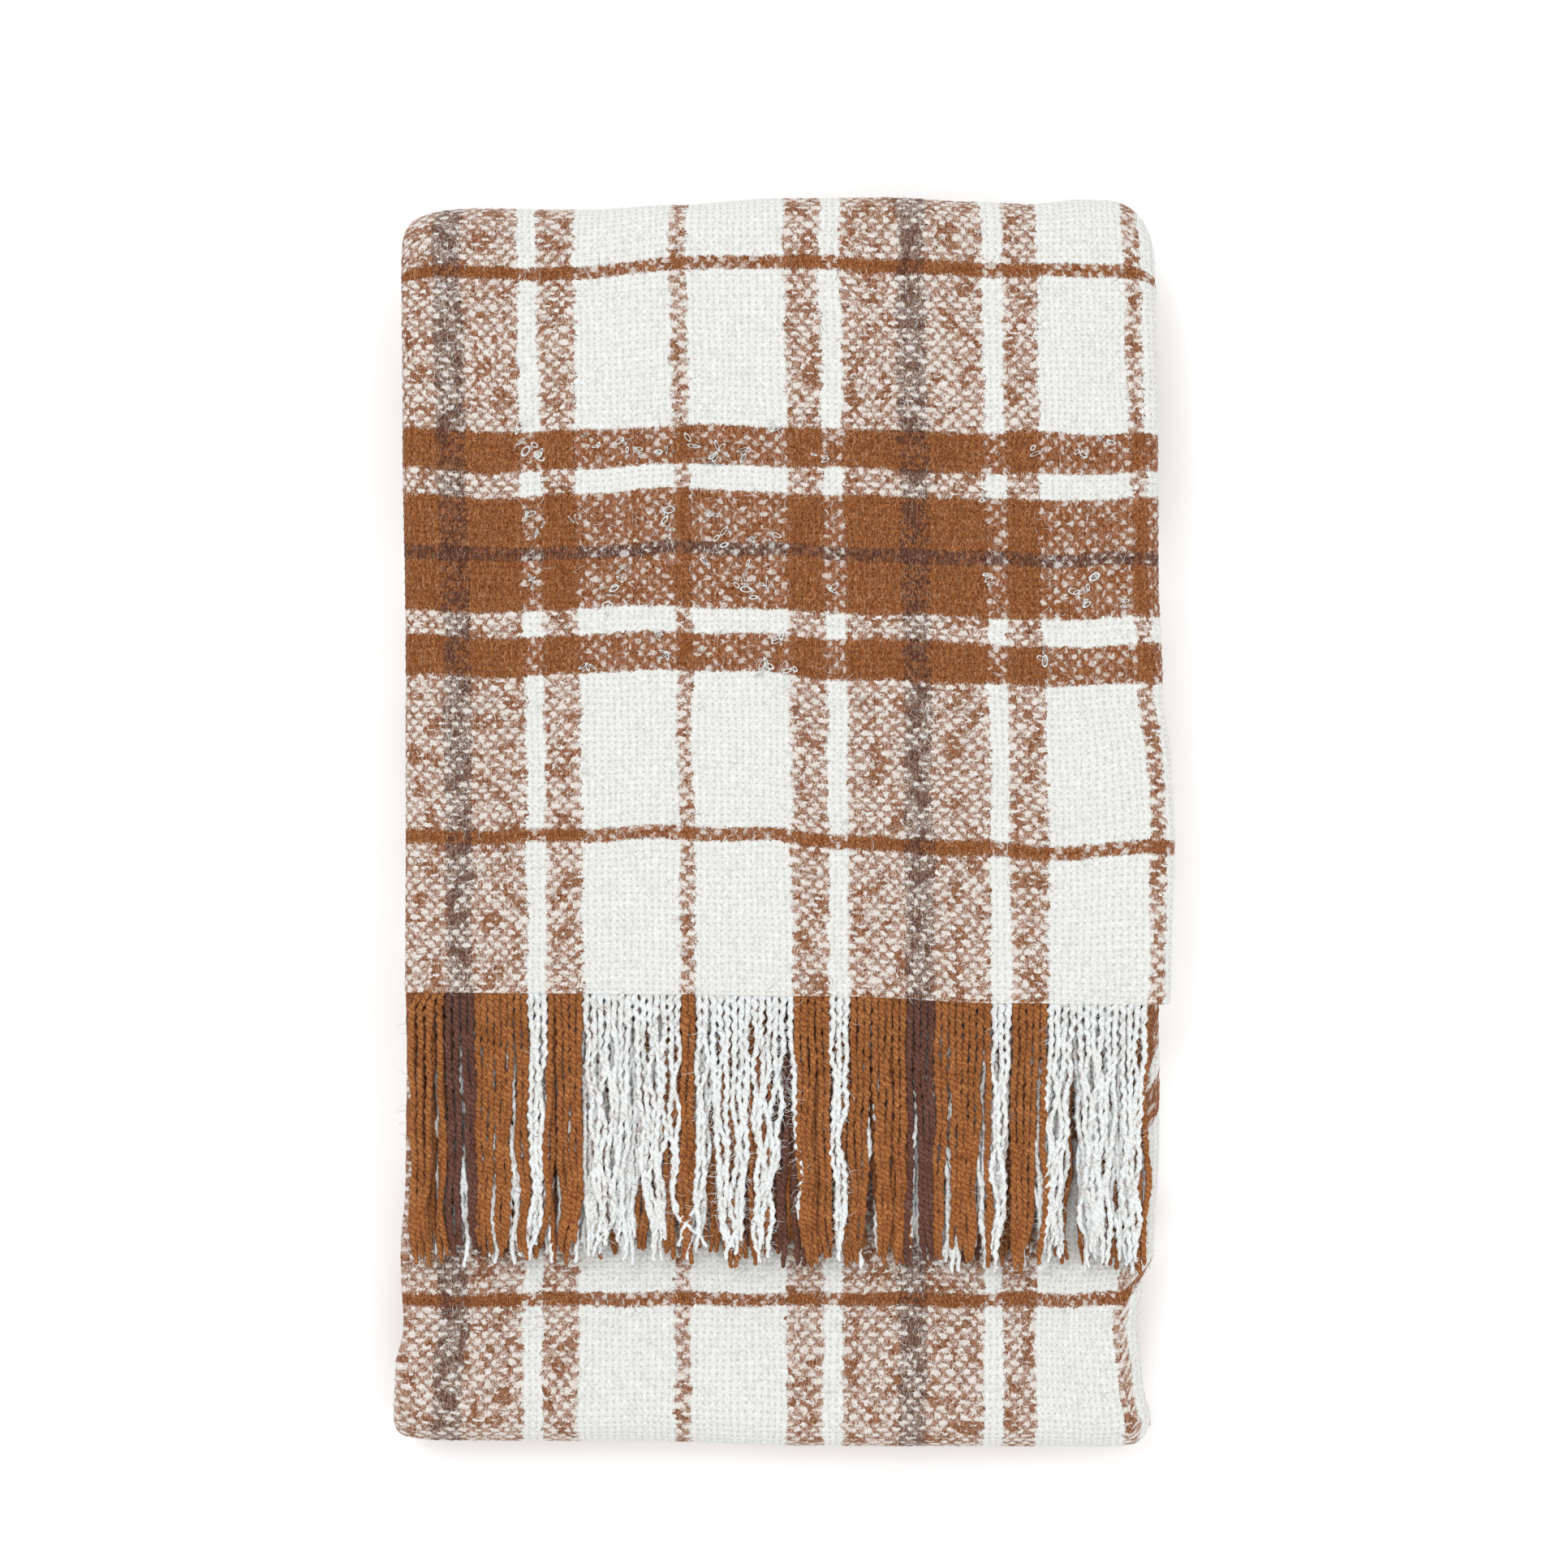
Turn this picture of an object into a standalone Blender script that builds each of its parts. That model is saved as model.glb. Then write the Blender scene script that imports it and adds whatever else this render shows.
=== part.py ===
"""Folded throw blanket: one woven cloth with a fringe at each end, gate-folded into four plies
across its width, then folded in three panels along its length.

Metres, +Z up. The origin is the middle of the rest face, +X runs across the folded blanket,
and +Y runs along it towards the rear fold. The blanket lies on the lower panel.

The cloth is divided at its real fold lines. Across the width, each panel holds four plies,
two side folds at the left and the centre fold at the right, where ply 1 wraps round to ply 4.
Along the length, the rear fold joins the upper panel to the middle one, and the front fold
joins the middle panel to the lower one.
"""

import math

import bmesh
import bpy
from mathutils import Matrix, Vector

# Driving dimensions of the folded blanket
WIDTH = 0.322  # across the side folds
LENGTH = 0.520  # over the rear and front folds
PLY = 0.0047  # one thickness of the brushed cloth
GAP = 0.0003  # air between neighbouring solids
PLIES = 4  # plies in each panel
UPPER_HEM_Y = -0.0706  # where the visible fringe leaves the cloth
LOWER_HEM_Y = 0.1240  # where the hidden fringe leaves the cloth
FRINGE_LENGTH = 0.109
FRINGE_THICKNESS = 0.0030
FRINGE_AXIS_RISE = 0.0015  # the fringe turns about a line just above the top ply

# Worked out from them
PITCH = PLY + GAP  # from one ply to the next
PANEL = PLIES * PITCH - GAP  # thickness of one panel
FOLD_OUTER = PANEL + GAP / 2  # outer radius of the rear and front folds
SIDE_OUTER = PLY + GAP / 2  # outer radius of a side fold, which holds two plies
CENTRE_OUTER = PANEL / 2  # outer radius of the centre fold, which holds four plies
LEFT = -WIDTH / 2
RIGHT = WIDTH / 2
REAR_Y = LENGTH / 2 - FOLD_OUTER - GAP / 2  # the rear fold's axis
FRONT_Y = -REAR_Y  # the front fold's axis
FRONT_Z = PANEL + GAP / 2
REAR_Z = FRONT_Z + PANEL + GAP
TOP_Z = REAR_Z + FOLD_OUTER

SIDE_STEPS = 8  # facets round half a turn of a side fold
CENTRE_STEPS = 10
FOLD_STEPS = 14  # facets round half a turn of the rear and front folds

# Colour, roughness and metallic value of each material
MATERIALS = {
    "flat_cloth": ((0.74, 0.61, 0.52, 1.0), 0.95, 0.0),
    "side_fold_cloth": ((0.66, 0.50, 0.40, 1.0), 0.95, 0.0),
    "end_fold_cloth": ((0.60, 0.44, 0.35, 1.0), 0.95, 0.0),
    "fringe_yarn": ((0.69, 0.54, 0.44, 1.0), 0.9, 0.0),
}


def clear_scene():
    for obj in list(bpy.data.objects):
        bpy.data.objects.remove(obj, do_unlink=True)


def make_materials():
    """One Principled material for each kind of sub-part."""
    made = {}
    for name, (colour, roughness, metallic) in MATERIALS.items():
        material = bpy.data.materials.new(name)
        material.use_nodes = True
        shader = material.node_tree.nodes["Principled BSDF"]
        shader.inputs["Base Color"].default_value = colour
        shader.inputs["Roughness"].default_value = roughness
        shader.inputs["Metallic"].default_value = metallic
        material.diffuse_color = colour
        made[name] = material
    return made


def make_axis(name, location, parent=None):
    """An empty on a joint's axis, which carries everything that turns about it."""
    axis = bpy.data.objects.new(name, None)
    axis.empty_display_size = 0.03
    bpy.context.scene.collection.objects.link(axis)
    axis.parent = parent
    axis.matrix_world = Matrix.Translation(location)
    bpy.context.view_layer.update()
    return axis


def make_node(name, bm, material, axis=None):
    """Turns a closed bmesh in world coordinates into a named object under its axis."""
    bmesh.ops.recalc_face_normals(bm, faces=bm.faces)
    origin = axis.matrix_world.translation if axis else Vector((0, 0, 0))
    bmesh.ops.translate(bm, verts=bm.verts, vec=-origin)
    mesh = bpy.data.meshes.new(name)
    bm.to_mesh(mesh)
    bm.free()
    mesh.materials.append(material)
    obj = bpy.data.objects.new(name, mesh)
    bpy.context.scene.collection.objects.link(obj)
    obj.parent = axis
    return obj


def ply_section(number, left, right):
    """Corners (x, depth) of one flat ply. Depth runs from the ply 1 side of a panel."""
    near = (number - 1) * PITCH
    return [(left, near), (right, near), (right, near + PLY), (left, near + PLY)]


def half_ring_section(x, depth, outer, side, steps):
    """Points (x, depth) of a fold one ply thick, round a centre, opening away from side."""
    angles = [math.pi * (i / steps - 0.5) for i in range(steps + 1)]
    rims = [(outer, angles), (outer - PLY, angles[::-1])]
    return [
        (x + side * radius * math.cos(a), depth + radius * math.sin(a))
        for radius, along in rims
        for a in along
    ]


def sections():
    """The name, outline and material of each strip of the cloth across its width."""
    left_axis = LEFT + SIDE_OUTER
    right_axis = RIGHT - CENTRE_OUTER
    start = left_axis + GAP
    stop = right_axis - GAP
    selvedge = stop - GAP
    strips = []
    for number in range(1, PLIES + 1):
        outer_ply = number in (1, PLIES)
        outline = ply_section(number, start, stop if outer_ply else selvedge)
        strips.append((f"ply_{number}", outline, "flat_cloth"))
    for first in (1, 3):
        depth = (first - 1) * PITCH + SIDE_OUTER
        outline = half_ring_section(left_axis, depth, SIDE_OUTER, -1, SIDE_STEPS)
        strips.append((f"side_fold_{first}_{first + 1}", outline, "side_fold_cloth"))
    outline = half_ring_section(right_axis, PANEL / 2, CENTRE_OUTER, 1, CENTRE_STEPS)
    strips.append(("centre_fold_1_4", outline, "side_fold_cloth"))
    return strips


def straight_piece(outline, y_from, y_to, height):
    """A strip of a flat panel. height gives z from depth."""
    bm = bmesh.new()
    corners = [bm.verts.new((x, y_from, height(depth))) for x, depth in outline]
    face = bm.faces.new(corners)
    pulled = bmesh.ops.extrude_face_region(bm, geom=[face])["geom"]
    moved = [item for item in pulled if isinstance(item, bmesh.types.BMVert)]
    bmesh.ops.translate(bm, verts=moved, vec=(0, y_to - y_from, 0))
    return bm


def turned_piece(outline, axis_y, axis_z, outward, radius):
    """A strip of the rear or front fold: half a turn about the fold's axis. outward is the
    sign of y on which the fold bulges, and radius gives the distance from the axis."""
    bm = bmesh.new()
    corners = [bm.verts.new((x, axis_y, axis_z + radius(depth))) for x, depth in outline]
    face = bm.faces.new(corners)
    bmesh.ops.spin(
        bm,
        geom=[face, *face.edges, *face.verts],
        cent=(0, axis_y, axis_z),
        axis=(-outward, 0, 0),
        angle=math.pi,
        steps=FOLD_STEPS,
        use_duplicate=False,
    )
    bmesh.ops.remove_doubles(bm, verts=bm.verts, dist=1e-7)
    return bm


def make_panel(name, y_from, y_to, height, materials, axis=None):
    for strip, outline, material in sections():
        bm = straight_piece(outline, y_from, y_to, height)
        make_node(f"{name}_{strip}", bm, materials[material], axis)


def make_fold(name, axis_y, axis_z, outward, radius, materials, axis=None):
    for strip, outline, _ in sections():
        bm = turned_piece(outline, axis_y, axis_z, outward, radius)
        make_node(f"{name}_{strip}", bm, materials["end_fold_cloth"], axis)


def make_fringe(name, y_from, y_to, height, materials, axis=None):
    """The warp ends of each ply, as one slab a ply."""
    for number in range(1, PLIES + 1):
        near = (number - 1) * PITCH + (PLY - FRINGE_THICKNESS) / 2
        far = near + FRINGE_THICKNESS
        left = LEFT + SIDE_OUTER
        right = RIGHT - SIDE_OUTER
        outline = [(left, near), (right, near), (right, far), (left, far)]
        bm = straight_piece(outline, y_from, y_to, height)
        make_node(f"{name}_ply_{number}", bm, materials["fringe_yarn"], axis)


def main():
    clear_scene()
    materials = make_materials()
    half = GAP / 2

    front_axis = make_axis("front_fold_axis", (0, FRONT_Y, FRONT_Z))
    rear_axis = make_axis("rear_fold_axis", (0, REAR_Y, REAR_Z), front_axis)
    hem_axis = make_axis("upper_hem_axis", (0, UPPER_HEM_Y, TOP_Z + FRINGE_AXIS_RISE), rear_axis)

    def lower(depth):
        return PANEL - depth

    def middle(depth):
        return FRONT_Z + half + depth

    def upper(depth):
        return TOP_Z - depth

    make_panel("lower_panel", FRONT_Y + half, LOWER_HEM_Y, lower, materials)
    make_fringe("lower_fringe", LOWER_HEM_Y + GAP, LOWER_HEM_Y + FRINGE_LENGTH, lower, materials)
    make_fold("front_fold", FRONT_Y - half, FRONT_Z, -1, lambda d: half + d, materials)
    make_panel("middle_panel", FRONT_Y + half, REAR_Y - half, middle, materials, front_axis)
    make_fold("rear_fold", REAR_Y + half, REAR_Z, 1, lambda d: FOLD_OUTER - d, materials, front_axis)
    make_panel("upper_panel", UPPER_HEM_Y, REAR_Y - half, upper, materials, rear_axis)
    fringe_end = UPPER_HEM_Y - FRINGE_LENGTH
    make_fringe("upper_fringe", UPPER_HEM_Y - GAP, fringe_end, upper, materials, hem_axis)


main()
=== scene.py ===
"""Folded throw blanket: a plaid cloth of brushed boucle yarn with a twisted-yarn fringe.

The cloth is built in its own thread numbers: every point of every piece knows which warp end
and which weft pick it lies on, so one woven pattern runs on over plies, folds and fringe.
"""

import math

import bpy
import numpy as np
from bpy.props import FloatProperty, FloatVectorProperty, PointerProperty
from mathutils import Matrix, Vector


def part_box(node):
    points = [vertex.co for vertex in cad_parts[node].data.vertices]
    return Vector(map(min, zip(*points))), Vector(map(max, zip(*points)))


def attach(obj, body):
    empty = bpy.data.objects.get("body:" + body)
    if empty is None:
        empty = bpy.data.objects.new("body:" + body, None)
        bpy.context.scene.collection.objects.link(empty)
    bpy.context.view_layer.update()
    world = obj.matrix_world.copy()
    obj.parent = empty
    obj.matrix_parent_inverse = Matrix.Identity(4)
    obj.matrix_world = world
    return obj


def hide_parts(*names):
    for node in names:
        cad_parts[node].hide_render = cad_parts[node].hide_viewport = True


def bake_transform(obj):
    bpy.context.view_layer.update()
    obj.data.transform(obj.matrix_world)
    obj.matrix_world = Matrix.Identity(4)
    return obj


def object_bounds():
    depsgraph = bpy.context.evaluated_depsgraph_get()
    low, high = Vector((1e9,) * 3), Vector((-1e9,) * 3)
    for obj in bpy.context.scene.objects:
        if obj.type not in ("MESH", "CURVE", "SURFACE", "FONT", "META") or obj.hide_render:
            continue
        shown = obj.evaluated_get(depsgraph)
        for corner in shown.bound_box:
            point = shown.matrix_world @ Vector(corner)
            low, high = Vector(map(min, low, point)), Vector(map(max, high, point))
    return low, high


bl_info = {
    "name": "Folded throw blanket",
    "version": (1, 0, 0),
    "blender": (4, 5, 0),
    "location": "View3D > Sidebar > Throw",
    "description": "Makes a folded plaid throw blanket with a fringe at each end",
    "category": "Object",
}

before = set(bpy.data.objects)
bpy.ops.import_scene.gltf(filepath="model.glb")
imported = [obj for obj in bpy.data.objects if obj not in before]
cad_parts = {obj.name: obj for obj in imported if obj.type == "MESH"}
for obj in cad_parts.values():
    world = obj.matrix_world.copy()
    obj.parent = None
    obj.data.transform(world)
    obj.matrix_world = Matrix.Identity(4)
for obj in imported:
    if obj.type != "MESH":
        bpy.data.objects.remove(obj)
CAD_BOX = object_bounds()

# The strips that each panel and end fold divides into across its width
STRIPS = (
    "ply_1",
    "ply_2",
    "ply_3",
    "ply_4",
    "side_fold_1_2",
    "side_fold_3_4",
    "centre_fold_1_4",
)


def box(node):
    """Lowest and highest corner of a CAD node, as arrays."""
    low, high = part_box(node)
    return np.array(low), np.array(high)


# Sizes of the folds, read from the frame
UPPER_LOW, UPPER_HIGH = box("upper_panel_ply_1")
LOWER_LOW, LOWER_HIGH = box("lower_panel_ply_1")
PLY = UPPER_HIGH[2] - UPPER_LOW[2]
PITCH = UPPER_LOW[2] - box("upper_panel_ply_2")[0][2]
GAP = PITCH - PLY
PANEL = 3 * PITCH + PLY
LEFT_X, RIGHT_X = UPPER_LOW[0], UPPER_HIGH[0]
HEM_Y, REAR_Y = UPPER_LOW[1], UPPER_HIGH[1]
FRONT_Y, LOWER_HEM_Y = LOWER_LOW[1], LOWER_HIGH[1]
TOP_Z = UPPER_HIGH[2]
MIDDLE_Z = box("middle_panel_ply_1")[0][2]
FOLD_OUTER = PANEL + GAP / 2
REAR_Z = TOP_Z - FOLD_OUTER
FRONT_Z = PANEL + GAP / 2
SIDE_RADIUS = PITCH / 2
CENTRE_RADIUS = 3 * PITCH / 2
BOX_LEFT, BOX_RIGHT = CAD_BOX[0][0], CAD_BOX[1][0]
BOX_REAR, BOX_FRONT = CAD_BOX[1][1], CAD_BOX[0][1]
FLOOR_GAP = 0.0002  # no cloth lies lower than this

# The sett, in threads. The warp stripes repeat after 66 ends and the weft stripes after 88
# picks, and each repeat is its own mirror image: (first thread of a stripe, its yarn).
WARP_REPEAT, WEFT_REPEAT = 66, 88
WARP_SETT = ((0, "camel"), (1, "cream"), (15, "camel"), (20, "cream"), (23, "camel"), (31, "umber"))
WEFT_SETT = ((0, "camel"), (1, "cream"), (25, "camel"), (31, "cream"), (35, "camel"), (43, "umber"))
HEM_PICK = -23.9  # the pick at the visible hem, counted from the first thin stripe
PLY_2_START = -0.008  # the selvedge of ply 2, in the distance across the cloth
# Where end 0 lies across the cloth at some picks, because the warp stripes drift a little
DRIFT_PICKS = (-24, 20, 91, 112, 240)
DRIFT = (0.6237, 0.6225, 0.6193, 0.6193, 0.645)

# Mesh steps. A strip's face has FACE_STEPS steps to each one of its back.
FACE_STEPS = 4
EVERYWHERE, NOWHERE, FRONT_PART = (-1, 1), (0, 0), (-0.3, -0.165)  # ranges of y
SHOWN_PLIES = {  # the step of each ply that shows, and where along y it is that fine
    ("upper_panel", 1): (0.00104, EVERYWHERE),
    ("rear_fold", 1): (0.00104, NOWHERE),
    ("front_fold", 4): (0.00104, NOWHERE),
    ("middle_panel", 4): (0.00112, FRONT_PART),
}
ROUND_STEP = 0.0011  # on the side folds and the centre fold
BURIED_STEP = 0.0026  # on a ply that doesn't show
UNSEEN_STEP = 0.0022  # along the part of a strip that doesn't show
RELIEF_STEP = 0.0015  # a finer mesh than this carries the relief of the weave

# The fringe
STRAND_MESH = {1: (98, 7), 2: (70, 6), 3: (36, 5), 4: (36, 5)}  # rings, and points in a ring
LOWER_STRAND_MESH = (30, 5)
TIP_RISE = {1: 0.0088, 2: 0.0072, 3: 0.0048, 4: 0.0024}  # of each ply, over the middle panel

# Single fibres and loops
FIBRE_RADII = (0.00010, 0.00009, 0.00007)  # at the root and at each third of a fibre
FIBRE_POINTS = 3 * len(FIBRE_RADII) + 1
LOOP_AROUND, LOOP_SIDES = 10, 4  # points along a loop, and round its yarn
TUFT = 3  # loops that stand together

# The first random seed of each kind of piece
STRAND_SEED, LOWER_STRAND_SEED = 40, 50
NAP_SEED, FRINGE_NAP_SEED = 70, 91
LOOPS_SEED = 17


def curve_of(*pairs):
    """A smooth line through (place, value) pairs in millimetres, as a function in metres."""
    places = np.array([p for p, _ in pairs]) / 1000
    values = np.array([v for _, v in pairs]) / 1000

    def value(at):
        at = np.clip(at, places[0], places[-1])
        i = np.clip(np.searchsorted(places, at) - 1, 0, len(places) - 2)
        t = (at - places[i]) / (places[i + 1] - places[i])
        return values[i] + (values[i + 1] - values[i]) * t * t * (3 - 2 * t)

    return value


# How the soft outline strays from the straight one: (mm along an edge, mm off it)
UPPER_LEFT = curve_of((-75, 2.6), (0, 2.8), (70, 2.8), (160, 1.5), (240, 0.9), (260, 0.9))
UPPER_RIGHT = curve_of((-110, -3), (-95, -1), (-60, 1.4), (-5, 2.8), (25, 1.4), (55, -2.2),
                       (105, -4), (160, -4.2), (210, -5), (260, -6))
MIDDLE_LEFT = curve_of((-262, -4.4), (-230, -3.2), (-212, 0.0), (-185, -1.0), (-150, 1.4), (240, 1))
MIDDLE_RIGHT = curve_of((-262, -4.2), (-252, -4.8), (-232, -8.8), (-212, -11.2), (-195, -9.2),
                        (-180, -4), (-140, -2), (240, -6))
REAR_EDGE = curve_of((-150, -3.4), (-130, -2.2), (-85, -2.8), (-45, -0.8), (-5, 2), (45, 2.4),
                     (80, 0.6), (103, -0.4), (127, 1.6), (140, 1.2), (160, -2))
FRONT_EDGE = curve_of((-157, -2.6), (-57, -3.2), (10, -5.1), (150, -5.3))
HEM_EDGE = curve_of((-150, 0), (-60, -0.6), (20, -1.5), (90, -4.4), (150, -5))
# and how the pattern's two thin weft stripes stray, from left to right
FIRST_THIN = curve_of((-157, 0), (-107, -2.4), (-90, -0.7), (-39, 2.0), (11, 0.3), (79, -1.4),
                      (155, -2))
SECOND_THIN = curve_of((-157, 0.6), (-124, -0.3), (-76, 2), (-56, 2.3), (-12, 1.3), (25, -1.7),
                       (79, -3.7), (113, -5.8), (147, -3), (164, -3.7))


class ThrowSizes(bpy.types.PropertyGroup):
    """Sizes of the yarn and the weave."""

    end_spacing: FloatProperty(
        name="End spacing", description="From one warp end to the next",
        default=0.002925, min=0.001, max=0.01, unit="LENGTH", precision=5)
    pick_spacing: FloatProperty(
        name="Pick spacing", description="From one weft pick to the next",
        default=0.00269, min=0.001, max=0.01, unit="LENGTH", precision=5)
    cloth_thickness: FloatProperty(
        name="Cloth thickness", description="Through the brushed cloth, at its yarns",
        default=0.0038, min=0.001, max=0.0046, unit="LENGTH", precision=4)
    yarn_relief: FloatProperty(
        name="Yarn relief", description="How far a yarn stands above the gaps of the weave",
        default=0.0006, min=0.0, max=0.001, unit="LENGTH", precision=5)
    cream_strand: FloatProperty(
        name="Cream strand", description="Thickness of a cream strand of the fringe",
        default=0.00235, min=0.0005, max=0.004, unit="LENGTH", precision=4)
    camel_strand: FloatProperty(
        name="Camel strand", description="Thickness of a camel or umber strand of the fringe",
        default=0.0028, min=0.0005, max=0.004, unit="LENGTH", precision=4)


def linear(code):
    """An sRGB hex colour as linear red, green, blue and alpha."""
    parts = [int(code[i : i + 2], 16) / 255 for i in (1, 3, 5)]
    return (*(p / 12.92 if p <= 0.04045 else ((p + 0.055) / 1.055) ** 2.4 for p in parts), 1.0)


def colour_property(name, description, code):
    """A colour setting whose default is an sRGB hex colour."""
    return FloatVectorProperty(
        name=name, description=description, default=linear(code)[:3],
        size=3, min=0.0, max=1.0, subtype="COLOR")


class ThrowColours(bpy.types.PropertyGroup):
    """Colours of the dyed yarns and the stage."""

    cream: colour_property("Cream yarn", "Undyed ground of the plaid", "#E0E1DE")
    camel: colour_property("Camel yarn", "Stripes of the plaid", "#8A532A")
    umber: colour_property("Umber yarn", "The dark line in the wide stripes", "#5A382D")
    floor: colour_property("Floor", "The pale floor under the throw", "#FFFFFF")


def uneven(x, y, scale, seed):
    """Smooth unevenness from -1 to 1, a sum of waves that don't line up. scale is about one
    wave's length."""
    rng = np.random.default_rng(seed)
    waves, full_wave = 5, 6.283
    total = 0
    for _ in range(waves):
        turn = rng.uniform(0, 2 * math.pi)
        wave = rng.uniform(0.7, 1.5) / scale
        phase = rng.uniform(0, 2 * math.pi)
        along = x * math.cos(turn) + y * math.sin(turn)
        total = total + np.sin(wave * along * full_wave + phase)
    return total / waves


def ease(value, start, end):
    """0 before start, 1 after end, and a smooth rise between them."""
    t = np.clip((value - start) / (end - start), 0, 1)
    return t * t * (3 - 2 * t)


def depth_of(ply):
    """Depth of a ply's middle, from the ply 1 side of its panel."""
    return (ply - 1) * PITCH + PLY / 2


def strip_line(strip, step):
    """The middle line of a strip across the cloth: place x and depth, the direction out of the
    cloth's face, the distance across the cloth, and the two plies it runs between."""
    run = RIGHT_X - LEFT_X
    side, centre = math.pi * SIDE_RADIUS, math.pi * CENTRE_RADIUS
    starts = {2: PLY_2_START, 1: run + side, 4: 2 * run + side + centre}
    starts[3] = starts[4] + run + side
    if strip.startswith("ply"):
        ply = int(strip[-1])
        steps = max(2, round(run / step / FACE_STEPS)) * FACE_STEPS
        across = np.linspace(LEFT_X, RIGHT_X, steps + 1)
        depth = np.full_like(across, depth_of(ply))
        face = 1.0 if ply in (2, 4) else -1.0
        out = np.stack([np.zeros_like(across), np.full_like(across, face)], 1)
        at = starts[ply] + (across - LEFT_X if ply in (1, 3) else RIGHT_X - across)
        return across, depth, out, at, (ply, ply, np.zeros_like(across))
    radius = centre / math.pi if strip.startswith("centre") else SIDE_RADIUS
    steps = max(2, round(math.pi * radius / step / FACE_STEPS)) * FACE_STEPS
    turn = np.linspace(0, math.pi, steps + 1)
    if strip.startswith("centre"):
        across = RIGHT_X + radius * np.sin(turn)
        depth = PANEL / 2 - radius * np.cos(turn)
        out = np.stack([np.sin(turn), -np.cos(turn)], 1)
        first, last, ends = 1, 4, (starts[1] + run, starts[4])
    else:
        middle = PITCH * (0.5 if strip.endswith("1_2") else 2.5) + PLY / 2
        across = LEFT_X - radius * np.sin(turn)
        depth = middle + radius * np.cos(turn)
        out = np.stack([-np.sin(turn), np.cos(turn)], 1)
        first, last = (2, 1) if strip.endswith("1_2") else (4, 3)
        ends = (starts[first] + run, starts[last])
    share = turn / math.pi
    return across, depth, out, ends[0] + (ends[1] - ends[0]) * share, (first, last, share)


def picks_at(zone, ply, place, sizes):
    """The pick number along a zone of the cloth, for one ply."""
    spacing = sizes.pick_spacing
    radius = depth_of(ply)
    slack = 6 if ply == 4 else 0  # ply 4 lies a few picks fuller in the rear fold
    rear = HEM_PICK + (REAR_Y - HEM_Y) / spacing
    rear_end = rear + math.pi * (FOLD_OUTER - radius) / spacing + slack
    front = rear_end + (REAR_Y - FRONT_Y) / spacing
    front_end = front + math.pi * radius / spacing
    if zone == "upper_panel":
        return HEM_PICK + (place - HEM_Y) / spacing
    if zone == "rear_fold":
        return rear + (rear_end - rear) * place / math.pi
    if zone == "middle_panel":
        return rear_end + (REAR_Y - place) / spacing
    if zone == "front_fold":
        return front + (front_end - front) * place / math.pi
    return front_end + (place - FRONT_Y) / spacing


def end_at(across, pick, sizes):
    """The warp end at a distance across the cloth, for a pick."""
    drift = np.interp(pick, DRIFT_PICKS, DRIFT)
    return 2 * WARP_REPEAT + (across - drift) / sizes.end_spacing  # two repeats keep it above 0


def place_of(zone, x, depth, place):
    """World points of section points x and depth, at a place along a zone."""
    x, depth, place = np.broadcast_arrays(x, depth, place)
    if zone == "upper_panel":
        return np.stack([x, place, TOP_Z - depth], -1)
    if zone == "middle_panel":
        return np.stack([x, place, MIDDLE_Z + depth], -1)
    if zone == "lower_panel":
        return np.stack([x, place, PANEL - depth], -1)
    if zone == "rear_fold":
        radius = FOLD_OUTER - depth
        y, z = REAR_Y + radius * np.sin(place), REAR_Z + radius * np.cos(place)
    else:
        radius = GAP / 2 + depth
        y, z = FRONT_Y - radius * np.sin(place), FRONT_Z + radius * np.cos(place)
    return np.stack([x, y, z], -1)


def settled(points):
    """Moves points of the straight folded cloth to where the soft cloth really lies."""
    x, y, z = points[..., 0], points[..., 1], points[..., 2]
    upper_z = MIDDLE_Z + PANEL
    upper = ease(z, upper_z - 0.002, upper_z + 0.004)
    left_rise, right_rise = 1 - ease(x, -0.162, -0.09), ease(x, 0.09, 0.158)
    left = UPPER_LEFT(y) * upper + MIDDLE_LEFT(y) * (1 - upper)
    right = UPPER_RIGHT(y) * upper + MIDDLE_RIGHT(y) * (1 - upper)
    level = 0.0006 * uneven(y, z * 6, 0.12, seed=5) * (1 - upper)
    x_new = x + (left + level) * left_rise + (right + level) * right_rise
    # the corners of the end folds are rounded off
    near_edge = np.minimum(x - BOX_LEFT, BOX_RIGHT - x)
    reach = 0.020
    corner = reach - np.sqrt(np.maximum(reach**2 - np.maximum(reach - near_edge, 0) ** 2, 0))
    rear_rise = ease(y, REAR_Y - 0.03, REAR_Y + 0.012)
    front_rise = 1 - ease(y, FRONT_Y - 0.012, FRONT_Y + 0.03)
    y_new = y + (REAR_EDGE(x) - 0.6 * corner) * rear_rise
    y_new = y_new + (FRONT_EDGE(x) + 0.25 * corner) * front_rise
    hem_rise = upper * (1 - ease(y, HEM_Y + 0.005, HEM_Y + 0.08))
    hem_rise = hem_rise * ease(y, HEM_Y - 0.04, HEM_Y - 0.01)
    y_new = y_new + HEM_EDGE(x) * hem_rise
    # the cloth sinks a little between its folds, and is softly uneven all over
    high = np.clip(z / TOP_Z, 0, 1)
    border = 0.05
    centre = ease(near_edge, 0, border) * ease(BOX_REAR - y, 0, border)
    centre = centre * ease(y - BOX_FRONT, 0, border)
    sink = high * (0.0012 * centre + 0.0007 * (1 + uneven(x, y, 0.09, seed=3)))
    z_new = np.maximum(z - sink, FLOOR_GAP)
    return np.stack([x_new, y_new, z_new], -1)


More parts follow.
